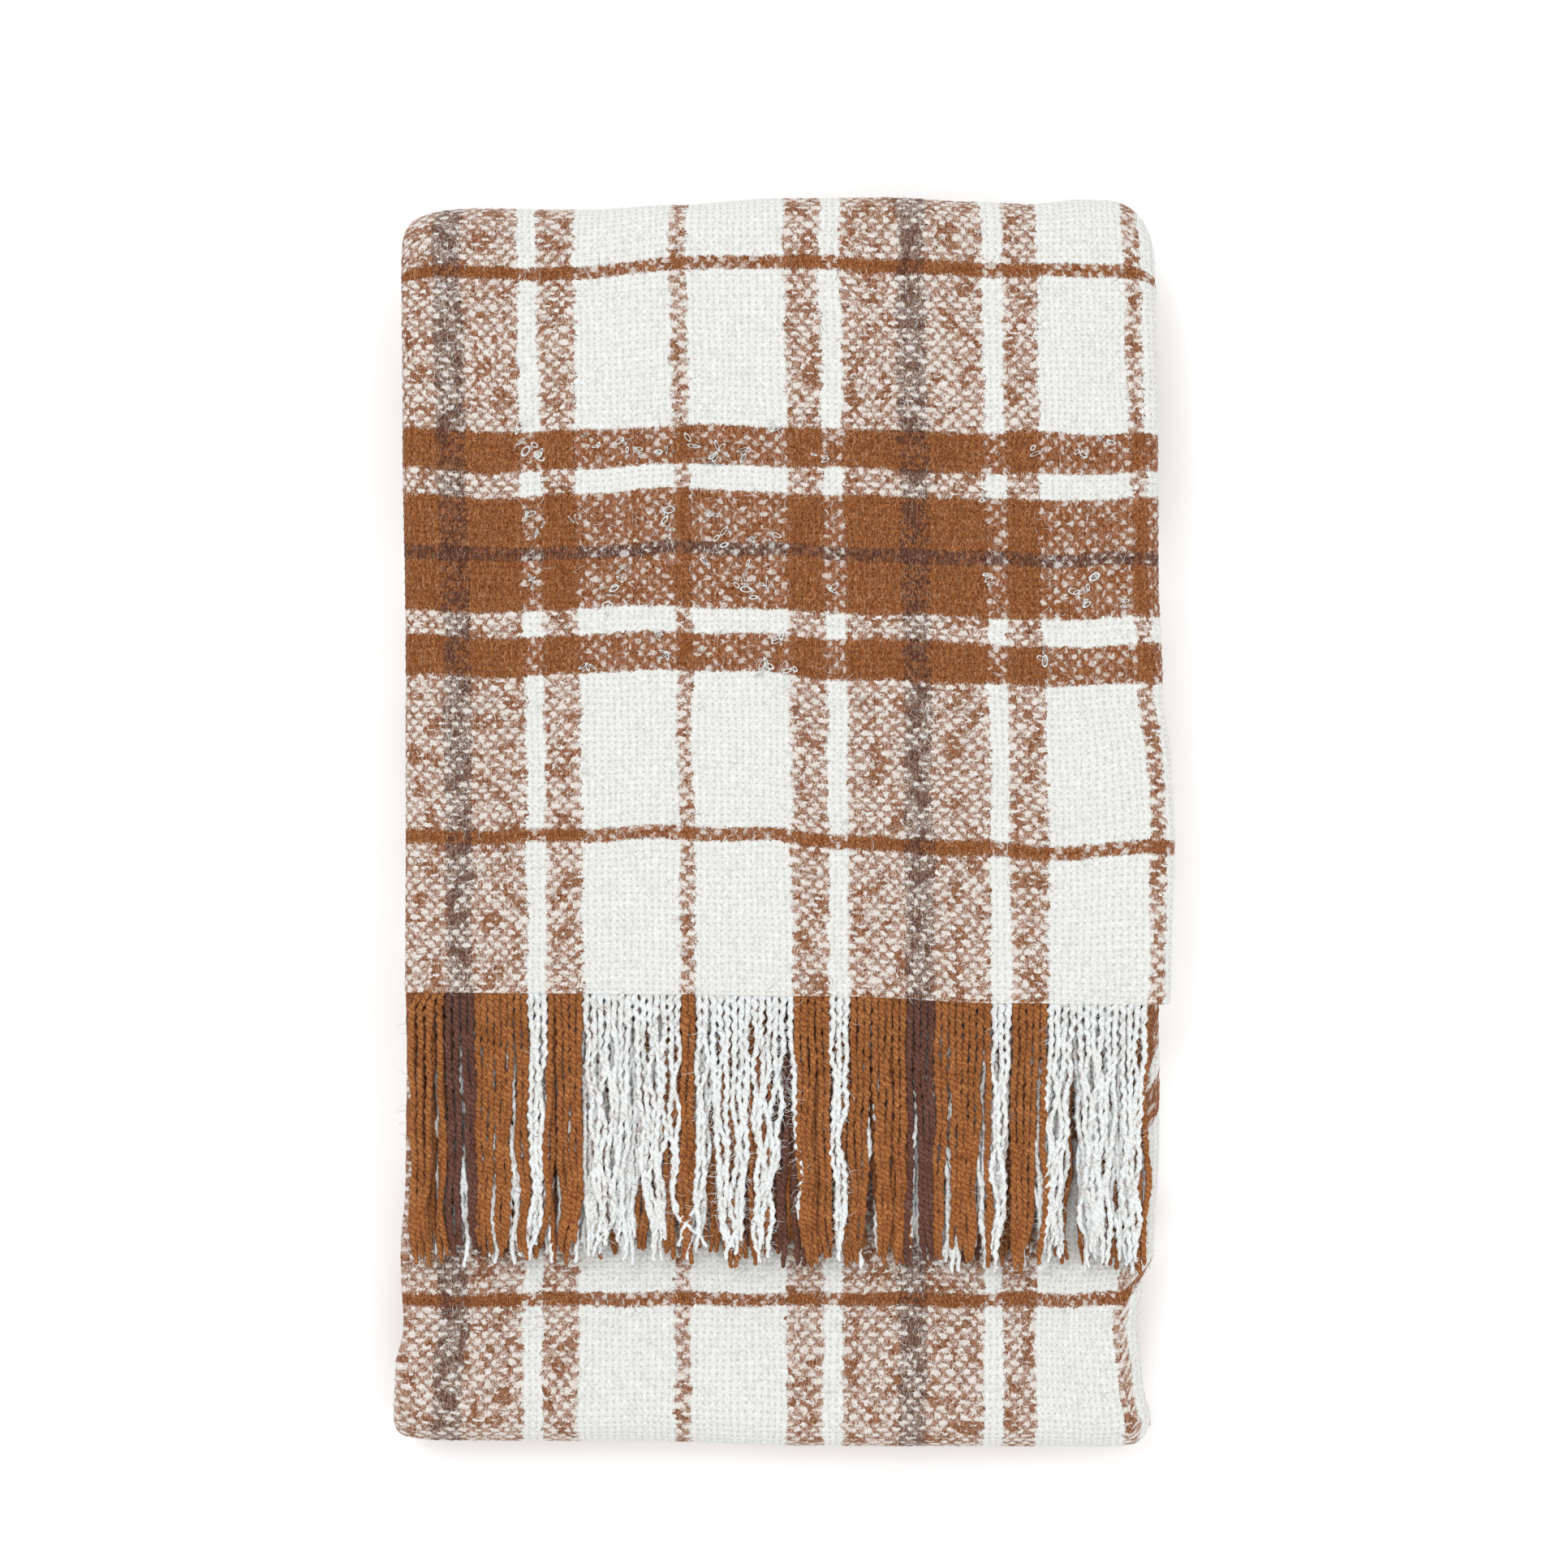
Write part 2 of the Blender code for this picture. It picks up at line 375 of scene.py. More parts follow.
def relief_of(ends, picks, sizes):
    """Height of the woven yarns above the cloth's middle, at thread numbers ends and picks.
    The weft is the fuller yarn, so it covers about two thirds of the face."""
    end_side = np.mod(ends, 1) - 0.5
    pick_side = np.mod(picks, 1) - 0.5
    over = np.sin(math.pi * ends) * np.sin(math.pi * picks)
    warp = 0.5 * over + 0.6 * np.sqrt(np.maximum(0.30 - end_side**2, 0)) - 0.12
    weft = -0.5 * over + 0.75 * np.sqrt(np.maximum(0.42 - pick_side**2, 0))
    plump = 1 + 0.25 * uneven(ends, picks, 7, seed=11)
    return sizes.yarn_relief * np.clip(np.maximum(warp, weft) * plump, -0.2, 1.1)


def grid_faces(rows, columns, offset, flip):
    """Faces of a grid of points, whose first one is point number offset."""
    index = offset + np.arange(rows * columns).reshape(rows, columns)
    faces = np.stack(
        [index[:-1, :-1], index[:-1, 1:], index[1:, 1:], index[1:, :-1]], -1).reshape(-1, 4)
    return faces[:, ::-1] if flip else faces


def wall_faces(face, back):
    """Faces of a cut side, between an edge of a strip's face and the one of its back."""
    if len(face) != (len(back) - 1) * FACE_STEPS + 1:
        raise ValueError("the two rows of a cloth edge don't match")
    runs = [face[i : len(face) - FACE_STEPS + i : FACE_STEPS] for i in range(FACE_STEPS + 1)]
    return np.stack([*runs, back[1:], back[:-1]], -1)


def new_piece(name, points, faces, threads, material):
    """A mesh object from arrays of points and faces. threads is the end and pick of each point."""
    mesh = bpy.data.meshes.new(name)
    mesh.vertices.add(len(points))
    mesh.vertices.foreach_set("co", points.astype(np.float32).ravel())
    corners = np.concatenate([f.ravel() for f in faces]).astype(np.int32)
    counts = np.concatenate([np.full(len(f), f.shape[1]) for f in faces])
    mesh.loops.add(len(corners))
    mesh.loops.foreach_set("vertex_index", corners)
    mesh.polygons.add(len(counts))
    mesh.polygons.foreach_set("loop_start", (np.cumsum(counts) - counts).astype(np.int32))
    mesh.update(calc_edges=True)
    layer = mesh.uv_layers.new(name="threads")
    layer.data.foreach_set("uv", threads[corners].astype(np.float32).ravel())
    mesh.polygons.foreach_set("use_smooth", np.ones(len(counts), bool))
    mesh.materials.append(material)
    if mesh.validate():
        raise ValueError(f"{name}: its mesh has bad faces")
    piece = bpy.data.objects.new(name, mesh)
    bpy.context.scene.collection.objects.link(piece)
    return piece


def mesh_steps(zone, ply):
    """The mesh step of a strip, its step along the part that doesn't show, and the range of y
    that shows. ply is 0 for a strip of a side fold or of the centre fold."""
    if ply:
        fine, shown = SHOWN_PLIES.get((zone, ply), (BURIED_STEP, NOWHERE))
    else:
        fine, shown = ROUND_STEP, EVERYWHERE if zone == "upper_panel" else FRONT_PART
    even = zone == "upper_panel" or zone.endswith("fold") or fine == BURIED_STEP
    return fine, fine if even else UNSEEN_STEP, shown


def rows_of(zone, fine, coarse, shown):
    """Places along a zone, finer in the range of y that shows, in whole steps of the back."""
    if zone.endswith("fold"):
        count = max(2, round(math.pi * FOLD_OUTER / coarse / FACE_STEPS)) * FACE_STEPS
        return np.linspace(0, math.pi, count + 1)
    low, high = {
        "upper_panel": (HEM_Y, REAR_Y),
        "middle_panel": (FRONT_Y, REAR_Y),
        "lower_panel": (FRONT_Y, LOWER_HEM_Y),
    }[zone]
    stops = sorted({low, high, *(min(max(v, low), high) for v in shown)})
    runs = []
    for start, end in zip(stops[:-1], stops[1:]):
        step = fine if shown[0] <= (start + end) / 2 <= shown[1] else coarse
        count = max(1, round((end - start) / step / FACE_STEPS)) * FACE_STEPS
        runs.append(np.linspace(start, end, count + 1)[:-1])
    return np.concatenate([*runs, [high]])


def threads_at(zone, across, depth, at, plies, place, sizes):
    """End and pick numbers at points of a strip's line and places along a zone."""
    first, last, share = plies
    spacing = sizes.pick_spacing
    picks = picks_at(zone, first, place, sizes) * (1 - share)
    picks = picks + picks_at(zone, last, place, sizes) * share
    flat_y = np.clip(place_of(zone, across, depth, place)[..., 1], HEM_Y, REAR_Y)
    if zone in ("upper_panel", "rear_fold"):
        both = ease(flat_y, 0.0, 0.2)
        strayed = FIRST_THIN(across) * both + SECOND_THIN(across) * (1 - both)
        strayed = strayed + (HEM_EDGE(across) - SECOND_THIN(across)) * (1 - ease(flat_y, HEM_Y, 0))
        fading = 0.5 + 0.5 * np.cos(place) if zone == "rear_fold" else 1
        picks = picks - strayed * fading / spacing
    picks = picks + 0.45 * uneven(across, picks * spacing, 0.045, seed=21)
    ends = end_at(at, picks, sizes)
    ends = ends + 0.35 * uneven(across * 2, picks * spacing, 0.06, seed=22)
    return ends, picks


def cloth_mesh(zone, strip, sizes):
    """One strip of one zone as a closed sheet: points, faces, cut sides, thread numbers and flat
    size. The side that shows has the finer mesh."""
    ply = int(strip[-1]) if strip.startswith("ply") else 0
    fine, coarse, shown = mesh_steps(zone, ply)
    across, depth, out, at, plies = strip_line(strip, fine)
    rows = rows_of(zone, fine, coarse, shown)
    ends, picks = threads_at(zone, across, depth, at, plies, rows[:, None], sizes)
    half = sizes.cloth_thickness / 2 - sizes.yarn_relief
    back_rise = half + 0.4 * sizes.yarn_relief
    face_rise = half + relief_of(ends, picks, sizes) if fine < RELIEF_STEP else back_rise

    def layer(rise, r, c):
        section_x = across[c] + out[c, 0] * rise
        section_depth = depth[c] + out[c, 1] * rise
        return settled(place_of(zone, section_x, section_depth, rows[r][:, None]))

    every_row, every_column = np.arange(len(rows)), np.arange(len(across))
    back_rows, back_columns = every_row[::FACE_STEPS], every_column[::FACE_STEPS]
    size, back_size = (len(rows), len(across)), (len(back_rows), len(back_columns))
    face_rise = np.broadcast_to(face_rise, picks.shape)
    top = layer(face_rise, every_row, every_column)
    low = layer(np.full(back_size, -back_rise), back_rows, back_columns)
    count = len(rows) * len(across)
    face = np.arange(count).reshape(size)
    back = count + np.arange(len(back_rows) * len(back_columns)).reshape(back_size)
    faces = [
        np.concatenate([grid_faces(*size, 0, False), grid_faces(*back_size, count, True)]),
        np.concatenate([
            wall_faces(face[0], back[0])[:, ::-1],
            wall_faces(face[-1], back[-1]),
            wall_faces(face[:, 0], back[:, 0]),
            wall_faces(face[:, -1], back[:, -1])[:, ::-1],
        ]),
    ]
    points = np.concatenate([top.reshape(-1, 3), low.reshape(-1, 3)])
    threads = np.stack([ends, picks], -1)
    # plain weave shows the other thread on its back, so the back is one end further on
    back_threads = threads[::FACE_STEPS, ::FACE_STEPS] + np.array([1.0, 0.0])
    threads = np.concatenate([threads.reshape(-1, 2), back_threads.reshape(-1, 2)])
    faces = outward(points, faces)
    mean = depth.mean()
    if zone == "rear_fold":
        length = math.pi * (FOLD_OUTER - mean)
    elif zone == "front_fold":
        length = math.pi * (GAP / 2 + mean)
    else:
        length = rows[-1] - rows[0]
    width = float(np.hypot(np.diff(across), np.diff(depth)).sum())
    return points, faces[0], faces[1], threads, (width, length)


def cloth_piece(name, zone, strips, material, sizes):
    """Strips of one zone as one piece, with its flat size and area."""
    points, grids, walls, threads, flats, count = [], [], [], [], [], 0
    for strip in strips:
        found = cloth_mesh(zone, strip, sizes)
        points.append(found[0])
        grids.append(found[1] + count)
        walls.append(found[2] + count)
        threads.append(found[3])
        flats.append(found[4])
        count += len(found[0])
    points, threads = np.concatenate(points), np.concatenate(threads)
    piece = new_piece(name, points, grids + walls, threads, material)
    first = sum(len(g) for g in grids)
    mark_rim(piece, range(first, first + sum(len(w) for w in walls)))
    area = sum(w * h for w, h in flats)
    width = max(sum(w for w, _ in flats), 0.01)
    return piece, (width, max(area / width, 0.01)), area


def outward(points, faces):
    """The faces, turned round if the volume inside them comes out below zero."""
    volume = 0.0
    for group in faces:
        for i in range(1, group.shape[1] - 1):
            a, b, c = points[group[:, 0]], points[group[:, i]], points[group[:, i + 1]]
            volume += float((a * np.cross(b, c)).sum())
    return [group[:, ::-1] for group in faces] if volume < 0 else faces


def mark_rim(piece, walls):
    """Edges of the cut sides of a piece are sharp, so its faces shade as one cloth with its
    neighbours."""
    mesh = piece.data
    sharp = np.zeros(len(mesh.edges), bool)
    for number in walls:
        for loop in mesh.polygons[number].loop_indices:
            sharp[mesh.loops[loop].edge_index] = True
    layer = mesh.attributes.new("sharp_edge", "BOOLEAN", "EDGE")
    layer.data.foreach_set("value", sharp)


def stripe_of(thread, repeat, sett):
    """The yarn of a thread number, from the mirrored sett."""
    across = abs((thread + 0.5 + repeat / 2) % repeat - repeat / 2)
    return [yarn for first, yarn in sett if across >= first][-1]


def strand_paths(zone, ply, rings, sizes, seed):
    """The middle lines of one ply's fringe strands, each strand's end number, whether it is
    cream, the distance along it, and the pick at the hem."""
    rng = np.random.default_rng(seed)
    upper = zone == "upper_panel"
    hem = HEM_Y if upper else LOWER_HEM_Y
    way = -1.0 if upper else 1.0
    across, depth, _, at, _ = strip_line(f"ply_{ply}", 0.005)
    pick = float(picks_at(zone, ply, hem, sizes))
    ends = end_at(at, pick, sizes)
    order = np.argsort(ends)
    numbers = np.arange(math.ceil(ends.min()), math.floor(ends.max()), dtype=float)
    x_root = np.interp(numbers + 0.5, ends[order], across[order])
    numbers = numbers[np.argsort(x_root)]
    x_root = np.sort(x_root)
    count = len(numbers)
    cream = np.array([stripe_of(n, WARP_REPEAT, WARP_SETT) == "cream" for n in numbers])
    root = settled(place_of(zone, x_root, np.full(count, depth[0]), np.full(count, hem)))
    # the cream strands are a little shorter, and ply 2 reaches out from under ply 1
    length = rng.uniform(0.104, 0.113, count)
    length = length + np.where(cream, rng.uniform(-0.008, 0.002, count), 0)
    if ply == 2:
        length = length + 0.004
    share = np.linspace(0, 1, rings)[None, :]
    along = share * length[:, None]
    # neighbouring strands cling together in small groups towards their tips
    cuts = np.cumsum(rng.integers(2, 7, count))
    group = np.searchsorted(cuts, np.arange(count), side="right")
    toward = rng.normal(0, 0.0030, count)
    middle = np.array([x_root[group == g].mean() + toward[g] for g in group])
    cling = np.where(cream, 0.62, 0.38)[:, None] * share**1.4
    x = x_root[:, None] + (middle - x_root)[:, None] * cling
    x = x + 0.0026 * uneven(x_root[:, None] * 3, along, 0.05, seed + 1) * share
    sway = uneven(numbers[:, None] * 0.7, along, 0.022, seed + 2)
    x = x + np.where(cream, 0.0017, 0.0007)[:, None] * sway * np.minimum(share * 4, 1)
    # each end keeps the crimp that the weave gave it, one wave to every two picks
    parity = np.where(np.mod(numbers, 2) > 0, 1.0, -1.0)[:, None]
    spread = (1 + rng.normal(0, 0.10, count))[:, None]
    phase = along / (2 * sizes.pick_spacing) * 2 * math.pi * spread
    fade = 1 - 0.4 * share
    crimp = np.where(cream, 0.00036, 0.00024)[:, None] * fade
    x = x + crimp * np.sin(phase + rng.uniform(0, 6, count)[:, None])
    # one cream strand in four curls round at its tip
    curl = (rng.random(count) < 0.25)[:, None] * cream[:, None] * ease(share, 0.86, 1.0)
    x = x + curl * rng.normal(0, 0.004, count)[:, None]
    if ply == 2 and upper:
        # the right-hand strands of ply 2 come out from under the centre fold
        x = x + ease(x_root, 0.130, 0.151)[:, None] * (0.003 + 0.002 * share)
    x = x + (root[:, 0] - x_root)[:, None]
    if ply <= 2 and upper:
        # the strands of the side fold spread out to the folded edge
        near_left = (1 - ease(x_root, LEFT_X, LEFT_X + 0.022))[:, None]
        x = x - 0.0052 * near_left * np.minimum(share * 14, 1)
    # each strand sinks from the hem on to what lies under it within a few centimetres
    floor = MIDDLE_Z + PANEL if upper else 0.0
    tip = floor + TIP_RISE[ply] if upper else max(0.6 * root[0, 2], 0.0016)
    sunk = root[:, 2:3] + (tip - root[:, 2:3]) * (1 - np.exp(-along / 0.020))
    lift = 0.0008 * uneven(numbers[:, None] * 0.8, along, 0.03, seed + 3)
    sunk = sunk + lift * np.minimum(share * 5, 1) + parity * crimp * 0.8 * np.cos(phase)
    sunk = np.maximum(sunk, floor + 0.0019)
    y = root[:, 1:2] + way * (along - 0.0015)
    return np.stack([x, y, sunk], -1), numbers, cream, along, pick


def fringe_piece(zone, ply, material, sizes):
    """One ply's fringe: a twisted two-fold strand from each warp end."""
    upper = zone == "upper_panel"
    way = -1.0 if upper else 1.0
    rings, sides = STRAND_MESH[ply] if upper else LOWER_STRAND_MESH
    seed = ply + (STRAND_SEED if upper else LOWER_STRAND_SEED)
    line, numbers, cream, along, pick = strand_paths(zone, ply, rings, sizes, seed)
    rng = np.random.default_rng(seed + 100)
    count = len(numbers)
    turn = np.linspace(0, 2 * math.pi, sides, endpoint=False)[None, None, :]
    radius = np.where(cream, sizes.cream_strand, sizes.camel_strand)[:, None] / 2
    radius = radius * (1 + 0.22 * uneven(numbers[:, None] * 3, along * 1000, 9, seed + 4))
    # three strands in ten have a slub, and all swell at the hem and thin towards the tip
    slub = rng.random((count, 1)) * 0.09 + 0.01
    fat = np.exp(-(((along - slub) / 0.004) ** 2)) * (rng.random((count, 1)) < 0.3)
    radius = radius * (1 + 0.5 * fat) * (1 - 0.35 * ease(along / along[:, -1:], 0.93, 1.0))
    radius = radius * (1 + np.where(cream, 0.42, 0.24)[:, None] * np.exp(-along / 0.008))
    # two folds twisted together, with a crest every 3.6 to 5.2 mm
    crest = rng.uniform(0.0036, 0.0052, (count, 1))
    twist = (along / crest * 2 * math.pi + rng.uniform(0, 6, (count, 1)))[..., None]
    fold = np.where(cream, 0.27, 0.20)[:, None, None]
    shape = radius[..., None] * (1 + fold * np.cos(2 * turn - twist))
    points = np.empty((count, rings, sides, 3))
    points[..., 0] = line[..., 0:1] + shape * np.cos(turn)
    points[..., 1] = line[..., 1:2]
    points[..., 2] = line[..., 2:3] + shape * np.sin(turn)
    points[..., 2] = np.maximum(points[..., 2], FLOOR_GAP)
    size = (count, rings, sides)
    # round a strand the end number stays within its own yarn
    ends = np.broadcast_to(numbers[:, None, None] + 0.5 + 0.4 * np.cos(turn), size)
    picks = np.broadcast_to(pick + way * along[..., None] / sizes.pick_spacing, size)
    caps = np.stack([line[:, 0], line[:, -1]], 1)
    caps[:, 1, 1] += way * 0.0008
    cap_threads = np.stack([
        np.stack([numbers + 0.5, picks[:, 0, 0]], -1),
        np.stack([numbers + 0.5, picks[:, -1, 0]], -1)], 1)
    per = rings * sides + 2
    index = np.arange(rings * sides).reshape(rings, sides)
    turned = np.roll(index, -1, axis=1)
    quads = np.stack([index[:-1], turned[:-1], turned[1:], index[1:]], -1).reshape(-1, 4)
    first = np.stack([np.full(sides, per - 2), turned[0], index[0]], -1)
    last = np.stack([np.full(sides, per - 1), index[-1], turned[-1]], -1)
    base = (np.arange(count) * per)[:, None, None]
    faces = [(quads[None] + base).reshape(-1, 4),
             (np.concatenate([first, last])[None] + base).reshape(-1, 3)]
    cloud = np.concatenate([points.reshape(count, -1, 3), caps], 1).reshape(-1, 3)
    threads = np.stack([ends, picks], -1).reshape(count, -1, 2)
    threads = np.concatenate([threads, cap_threads], 1).reshape(-1, 2)
    name = zone.replace("panel", "fringe") + f"_ply_{ply}_strands"
    return new_piece(name, cloud, outward(cloud, faces), threads, material)


def hair_piece(name, roots, ways, lengths, threads, material):
    """Single fibres as thin three-sided spikes that curl over. roots and ways are points and
    directions."""
    count = len(roots)
    rng = np.random.default_rng(count)
    way = ways / np.linalg.norm(ways, axis=1)[:, None]
    curl = rng.normal(0, 0.62, (count, 3))
    curl[:, 2] = -np.abs(curl[:, 2]) * 0.4
    at = roots
    points = np.empty((count, FIBRE_POINTS, 3))
    for ring, radius in enumerate(FIBRE_RADII):
        side = np.cross(way, [0.0, 0.0, 1.0]) + 1e-6
        side = side / np.linalg.norm(side, axis=1)[:, None]
        above = np.cross(side, way)
        for corner in range(3):
            angle = corner * 2 * math.pi / 3
            rim = math.cos(angle) * side + math.sin(angle) * above
            points[:, ring * 3 + corner] = at + rim * radius
        at = at + way * (lengths / len(FIBRE_RADII))[:, None]
        way = way + curl
        way = way / np.linalg.norm(way, axis=1)[:, None]
    points[:, -1] = at
    quads = np.array([[0, 1, 4, 3], [1, 2, 5, 4], [2, 0, 3, 5],
                      [3, 4, 7, 6], [4, 5, 8, 7], [5, 3, 6, 8]])
    tris = np.array([[0, 2, 1], [6, 7, 9], [7, 8, 9], [8, 6, 9]])
    base = (np.arange(count) * FIBRE_POINTS)[:, None, None]
    faces = [(quads[None] + base).reshape(-1, 4), (tris[None] + base).reshape(-1, 3)]
    cloud = points.reshape(-1, 3)
    cloud[:, 2] = np.maximum(cloud[:, 2], 0.0003)
    threads = np.repeat(threads, FIBRE_POINTS, axis=0)
    return new_piece(name, cloud, outward(cloud, faces), threads, material)


def fringe_nap(zone, plies, material, sizes):
    """Fibres that stand out from the fringe strands, each from its own strand. plies holds
    each ply with how many fibres it has."""
    roots, ways, threads = [], [], []
    rng = np.random.default_rng(FRINGE_NAP_SEED)
    for ply, count in plies:
        rings, _ = STRAND_MESH[ply]
        line, numbers, cream, _, _ = strand_paths(zone, ply, rings, sizes, STRAND_SEED + ply)
        hairiness = np.where(cream, 2.6, 1.0)
        strand = rng.choice(len(numbers), count, p=hairiness / hairiness.sum())
        ring = rng.integers(2, rings - 2, count)
        root = line[strand, ring]
        way = rng.normal(0, 1, (count, 3)) * [1.0, 1.0, 0.30]
        way[:, 2] = np.abs(way[:, 2])
        roots.append(root)
        ways.append(way)
        threads.append(np.stack([numbers[strand] + 0.5, np.full(count, 0.5)], -1))
    roots, ways = np.concatenate(roots), np.concatenate(ways)
    lengths = rng.uniform(0.003, 0.009, len(roots))
    name = zone.replace("panel", "fringe") + "_nap"
    return hair_piece(name, roots, ways, lengths, np.concatenate(threads), material)


def loops_piece(zone, low, high, count, material, sizes):
    """Small boucle loops of cream warp that stand up out of the camel bands."""
    rng = np.random.default_rng(LOOPS_SEED)
    across, depth, _, at, (first, last, share) = strip_line("ply_1", 0.001)
    tries = count * 8  # most places drawn don't lie on a cream end in a camel band
    index = rng.integers(0, len(across), tries)
    place = rng.uniform(low, high, tries)
    ends, picks = threads_at(zone, across[index], depth[index], at[index],
                             (first, last, share[index]), place, sizes)
    wanted = [
        stripe_of(math.floor(e), WARP_REPEAT, WARP_SETT) == "cream"
        and stripe_of(math.floor(p), WEFT_REPEAT, WEFT_SETT) != "cream"
        for e, p in zip(ends, picks)
    ]
    keep = np.repeat(np.flatnonzero(wanted)[: count // TUFT], TUFT)
    rise = sizes.cloth_thickness / 2 + 0.0001
    centre = settled(place_of(zone, across[index[keep]], depth[index[keep]] - rise, place[keep]))
    some = len(keep)
    centre = centre + rng.normal(0, 1, (some, 3)) * [0.0016, 0.0018, 0.0002]
    radius = rng.uniform(0.0009, 0.0024, some)[:, None, None]
    slim = rng.uniform(0.2, 0.65, some)[:, None, None]
    turn = np.linspace(0, 2 * math.pi, LOOP_AROUND, endpoint=False)[None, :, None]
    round_yarn = np.linspace(0, 2 * math.pi, LOOP_SIDES, endpoint=False)[None, None, :]
    thick = rng.uniform(0.00032, 0.00058, some)[:, None, None]
    reach = radius + thick * np.cos(round_yarn)
    flat_x = reach * np.cos(turn)
    flat_y = reach * np.sin(turn) * slim
    lean = rng.uniform(-0.9, 0.9, some)[:, None, None]
    spin = rng.uniform(0, math.pi, some)[:, None, None]
    flat_z = thick * np.sin(round_yarn) + flat_y * np.sin(lean)
    flat_y = flat_y * np.cos(lean)
    points = np.empty((some, LOOP_AROUND, LOOP_SIDES, 3))
    points[..., 0] = flat_x * np.cos(spin) - flat_y * np.sin(spin)
    points[..., 1] = flat_x * np.sin(spin) + flat_y * np.cos(spin)
    points[..., 2] = flat_z
    points = points + centre[:, None, None, :]
    per = LOOP_AROUND * LOOP_SIDES
    cell = np.arange(per).reshape(LOOP_AROUND, LOOP_SIDES)
    turned, raised = np.roll(cell, -1, axis=0), np.roll(cell, -1, axis=1)
    both = np.roll(turned, -1, axis=1)
    quads = np.stack([cell, turned, both, raised], -1).reshape(-1, 4)
    faces = [(quads[None] + (np.arange(some) * per)[:, None, None]).reshape(-1, 4)]
    cloud = points.reshape(-1, 3)
    threads = np.repeat(np.stack([ends[keep], picks[keep]], -1), per, axis=0)
    return new_piece(f"{zone}_loops", cloud, outward(cloud, faces), threads, material)


def nap_piece(zone, strips, count, low, high, material, sizes, seed):
    """Raised fibres over the strips of a zone that show, most of them lying down."""
    rng = np.random.default_rng(seed)
    roots, ways, threads, lengths = [], [], [], []
    lines = [strip_line(strip, 0.001) for strip in strips]
    widths = np.array([np.hypot(np.diff(line[0]), np.diff(line[1])).sum() for line in lines])
    for line, part in zip(lines, widths / widths.sum()):
        across, depth, out, at, (first, last, share) = line
        some = int(count * part)
        index = rng.integers(0, len(across), some)
        across, depth, out = across[index], depth[index], out[index]
        across = across + rng.uniform(-0.0005, 0.0005, some)
        place = rng.uniform(low, high, some)
        ends, picks = threads_at(zone, across, depth, at[index],
                                 (first, last, share[index]), place, sizes)
        rise = sizes.cloth_thickness / 2 - 0.0005
        near, far = (
            settled(place_of(zone, across + out[:, 0] * r, depth + out[:, 1] * r, place))
            for r in (rise, rise + 0.001)
        )
        normal = (far - near) / np.linalg.norm(far - near, axis=1)[:, None]
        lie = rng.normal(0, 1, (some, 3)) * [0.8, 1.0, 0.8]
        lie -= normal * (lie * normal).sum(1)[:, None]
        lie /= np.linalg.norm(lie, axis=1)[:, None]
        # the fibres stay short and flat near the folded edges, where handling has smoothed them
        edge = np.minimum(near[:, 0] - BOX_LEFT, BOX_RIGHT - near[:, 0])
        edge = np.minimum(edge, np.minimum(BOX_REAR - near[:, 1], near[:, 1] - BOX_FRONT))
        open_face = ease(edge, 0.002, 0.02)
        lift = (rng.uniform(0.12, 0.55, some) * (0.3 + 0.7 * open_face))[:, None]
        lengths.append(rng.uniform(0.002, 0.0065, some) * (0.35 + 0.65 * open_face))
        roots.append(near)
        ways.append(lie + normal * lift)
        threads.append(np.stack([ends, picks], -1))
    roots, ways = np.concatenate(roots), np.concatenate(ways)
    lengths = np.concatenate(lengths)
    return hair_piece(f"{zone}_nap", roots, ways, lengths, np.concatenate(threads), material)


def add(tree, kind, settings=None, *values, **named):
    """Adds one node. settings are its own properties, values fill its inputs in order, and named
    ones by their names. A node given as a value stands for its first output."""
    node = tree.nodes.new("ShaderNode" + kind)
    for key, value in (settings or {}).items():
        setattr(node, key, value)
    in_use = [socket for socket in node.inputs if socket.enabled]
    by_name = [(node.inputs[key.replace("_", " ")], value) for key, value in named.items()]
    for socket, value in [*zip(in_use, values), *by_name]:
        if isinstance(value, bpy.types.Node):
            value = next(output for output in value.outputs if output.enabled)
        if isinstance(value, bpy.types.NodeSocket):
            tree.links.new(value, socket)
        else:
            socket.default_value = value
    return node


PLUS = {"operation": "ADD"}
MINUS = {"operation": "SUBTRACT"}
TIMES = {"operation": "MULTIPLY"}
TIMES_PLUS = {"operation": "MULTIPLY_ADD"}
OVER = {"operation": "DIVIDE"}
POWER = {"operation": "POWER"}
SIZE = {"operation": "ABSOLUTE"}
SINE = {"operation": "SINE"}
FLOOR = {"operation": "FLOOR"}
THERE_AND_BACK = {"operation": "PINGPONG"}
ABOVE = {"operation": "GREATER_THAN"}
EASED = {"interpolation_type": "SMOOTHSTEP"}
BLEND = {"data_type": "RGBA"}
DYE_OVER = {"data_type": "RGBA", "blend_type": "MULTIPLY"}
FLAT = {"noise_dimensions": "2D"}


def sett_colour(tree, thread, repeat, sett, colours):
    """The dyed colour of a thread number: the sett, mirrored at each half repeat."""
    cell = add(tree, "Math", PLUS, add(tree, "Math", FLOOR, thread), 0.5)
    across = add(tree, "Math", THERE_AND_BACK, cell, repeat / 2)
    ramp = add(tree, "ValToRGB", None, add(tree, "Math", OVER, across, repeat / 2))
    ramp.color_ramp.interpolation = "CONSTANT"
    stops = ramp.color_ramp.elements
    while len(stops) < len(sett):
        stops.new(0.5)
    for stop, (first, yarn) in zip(stops, sett):
        stop.position = first / (repeat / 2)
        stop.color = (*getattr(colours, yarn), 1.0)
    return ramp


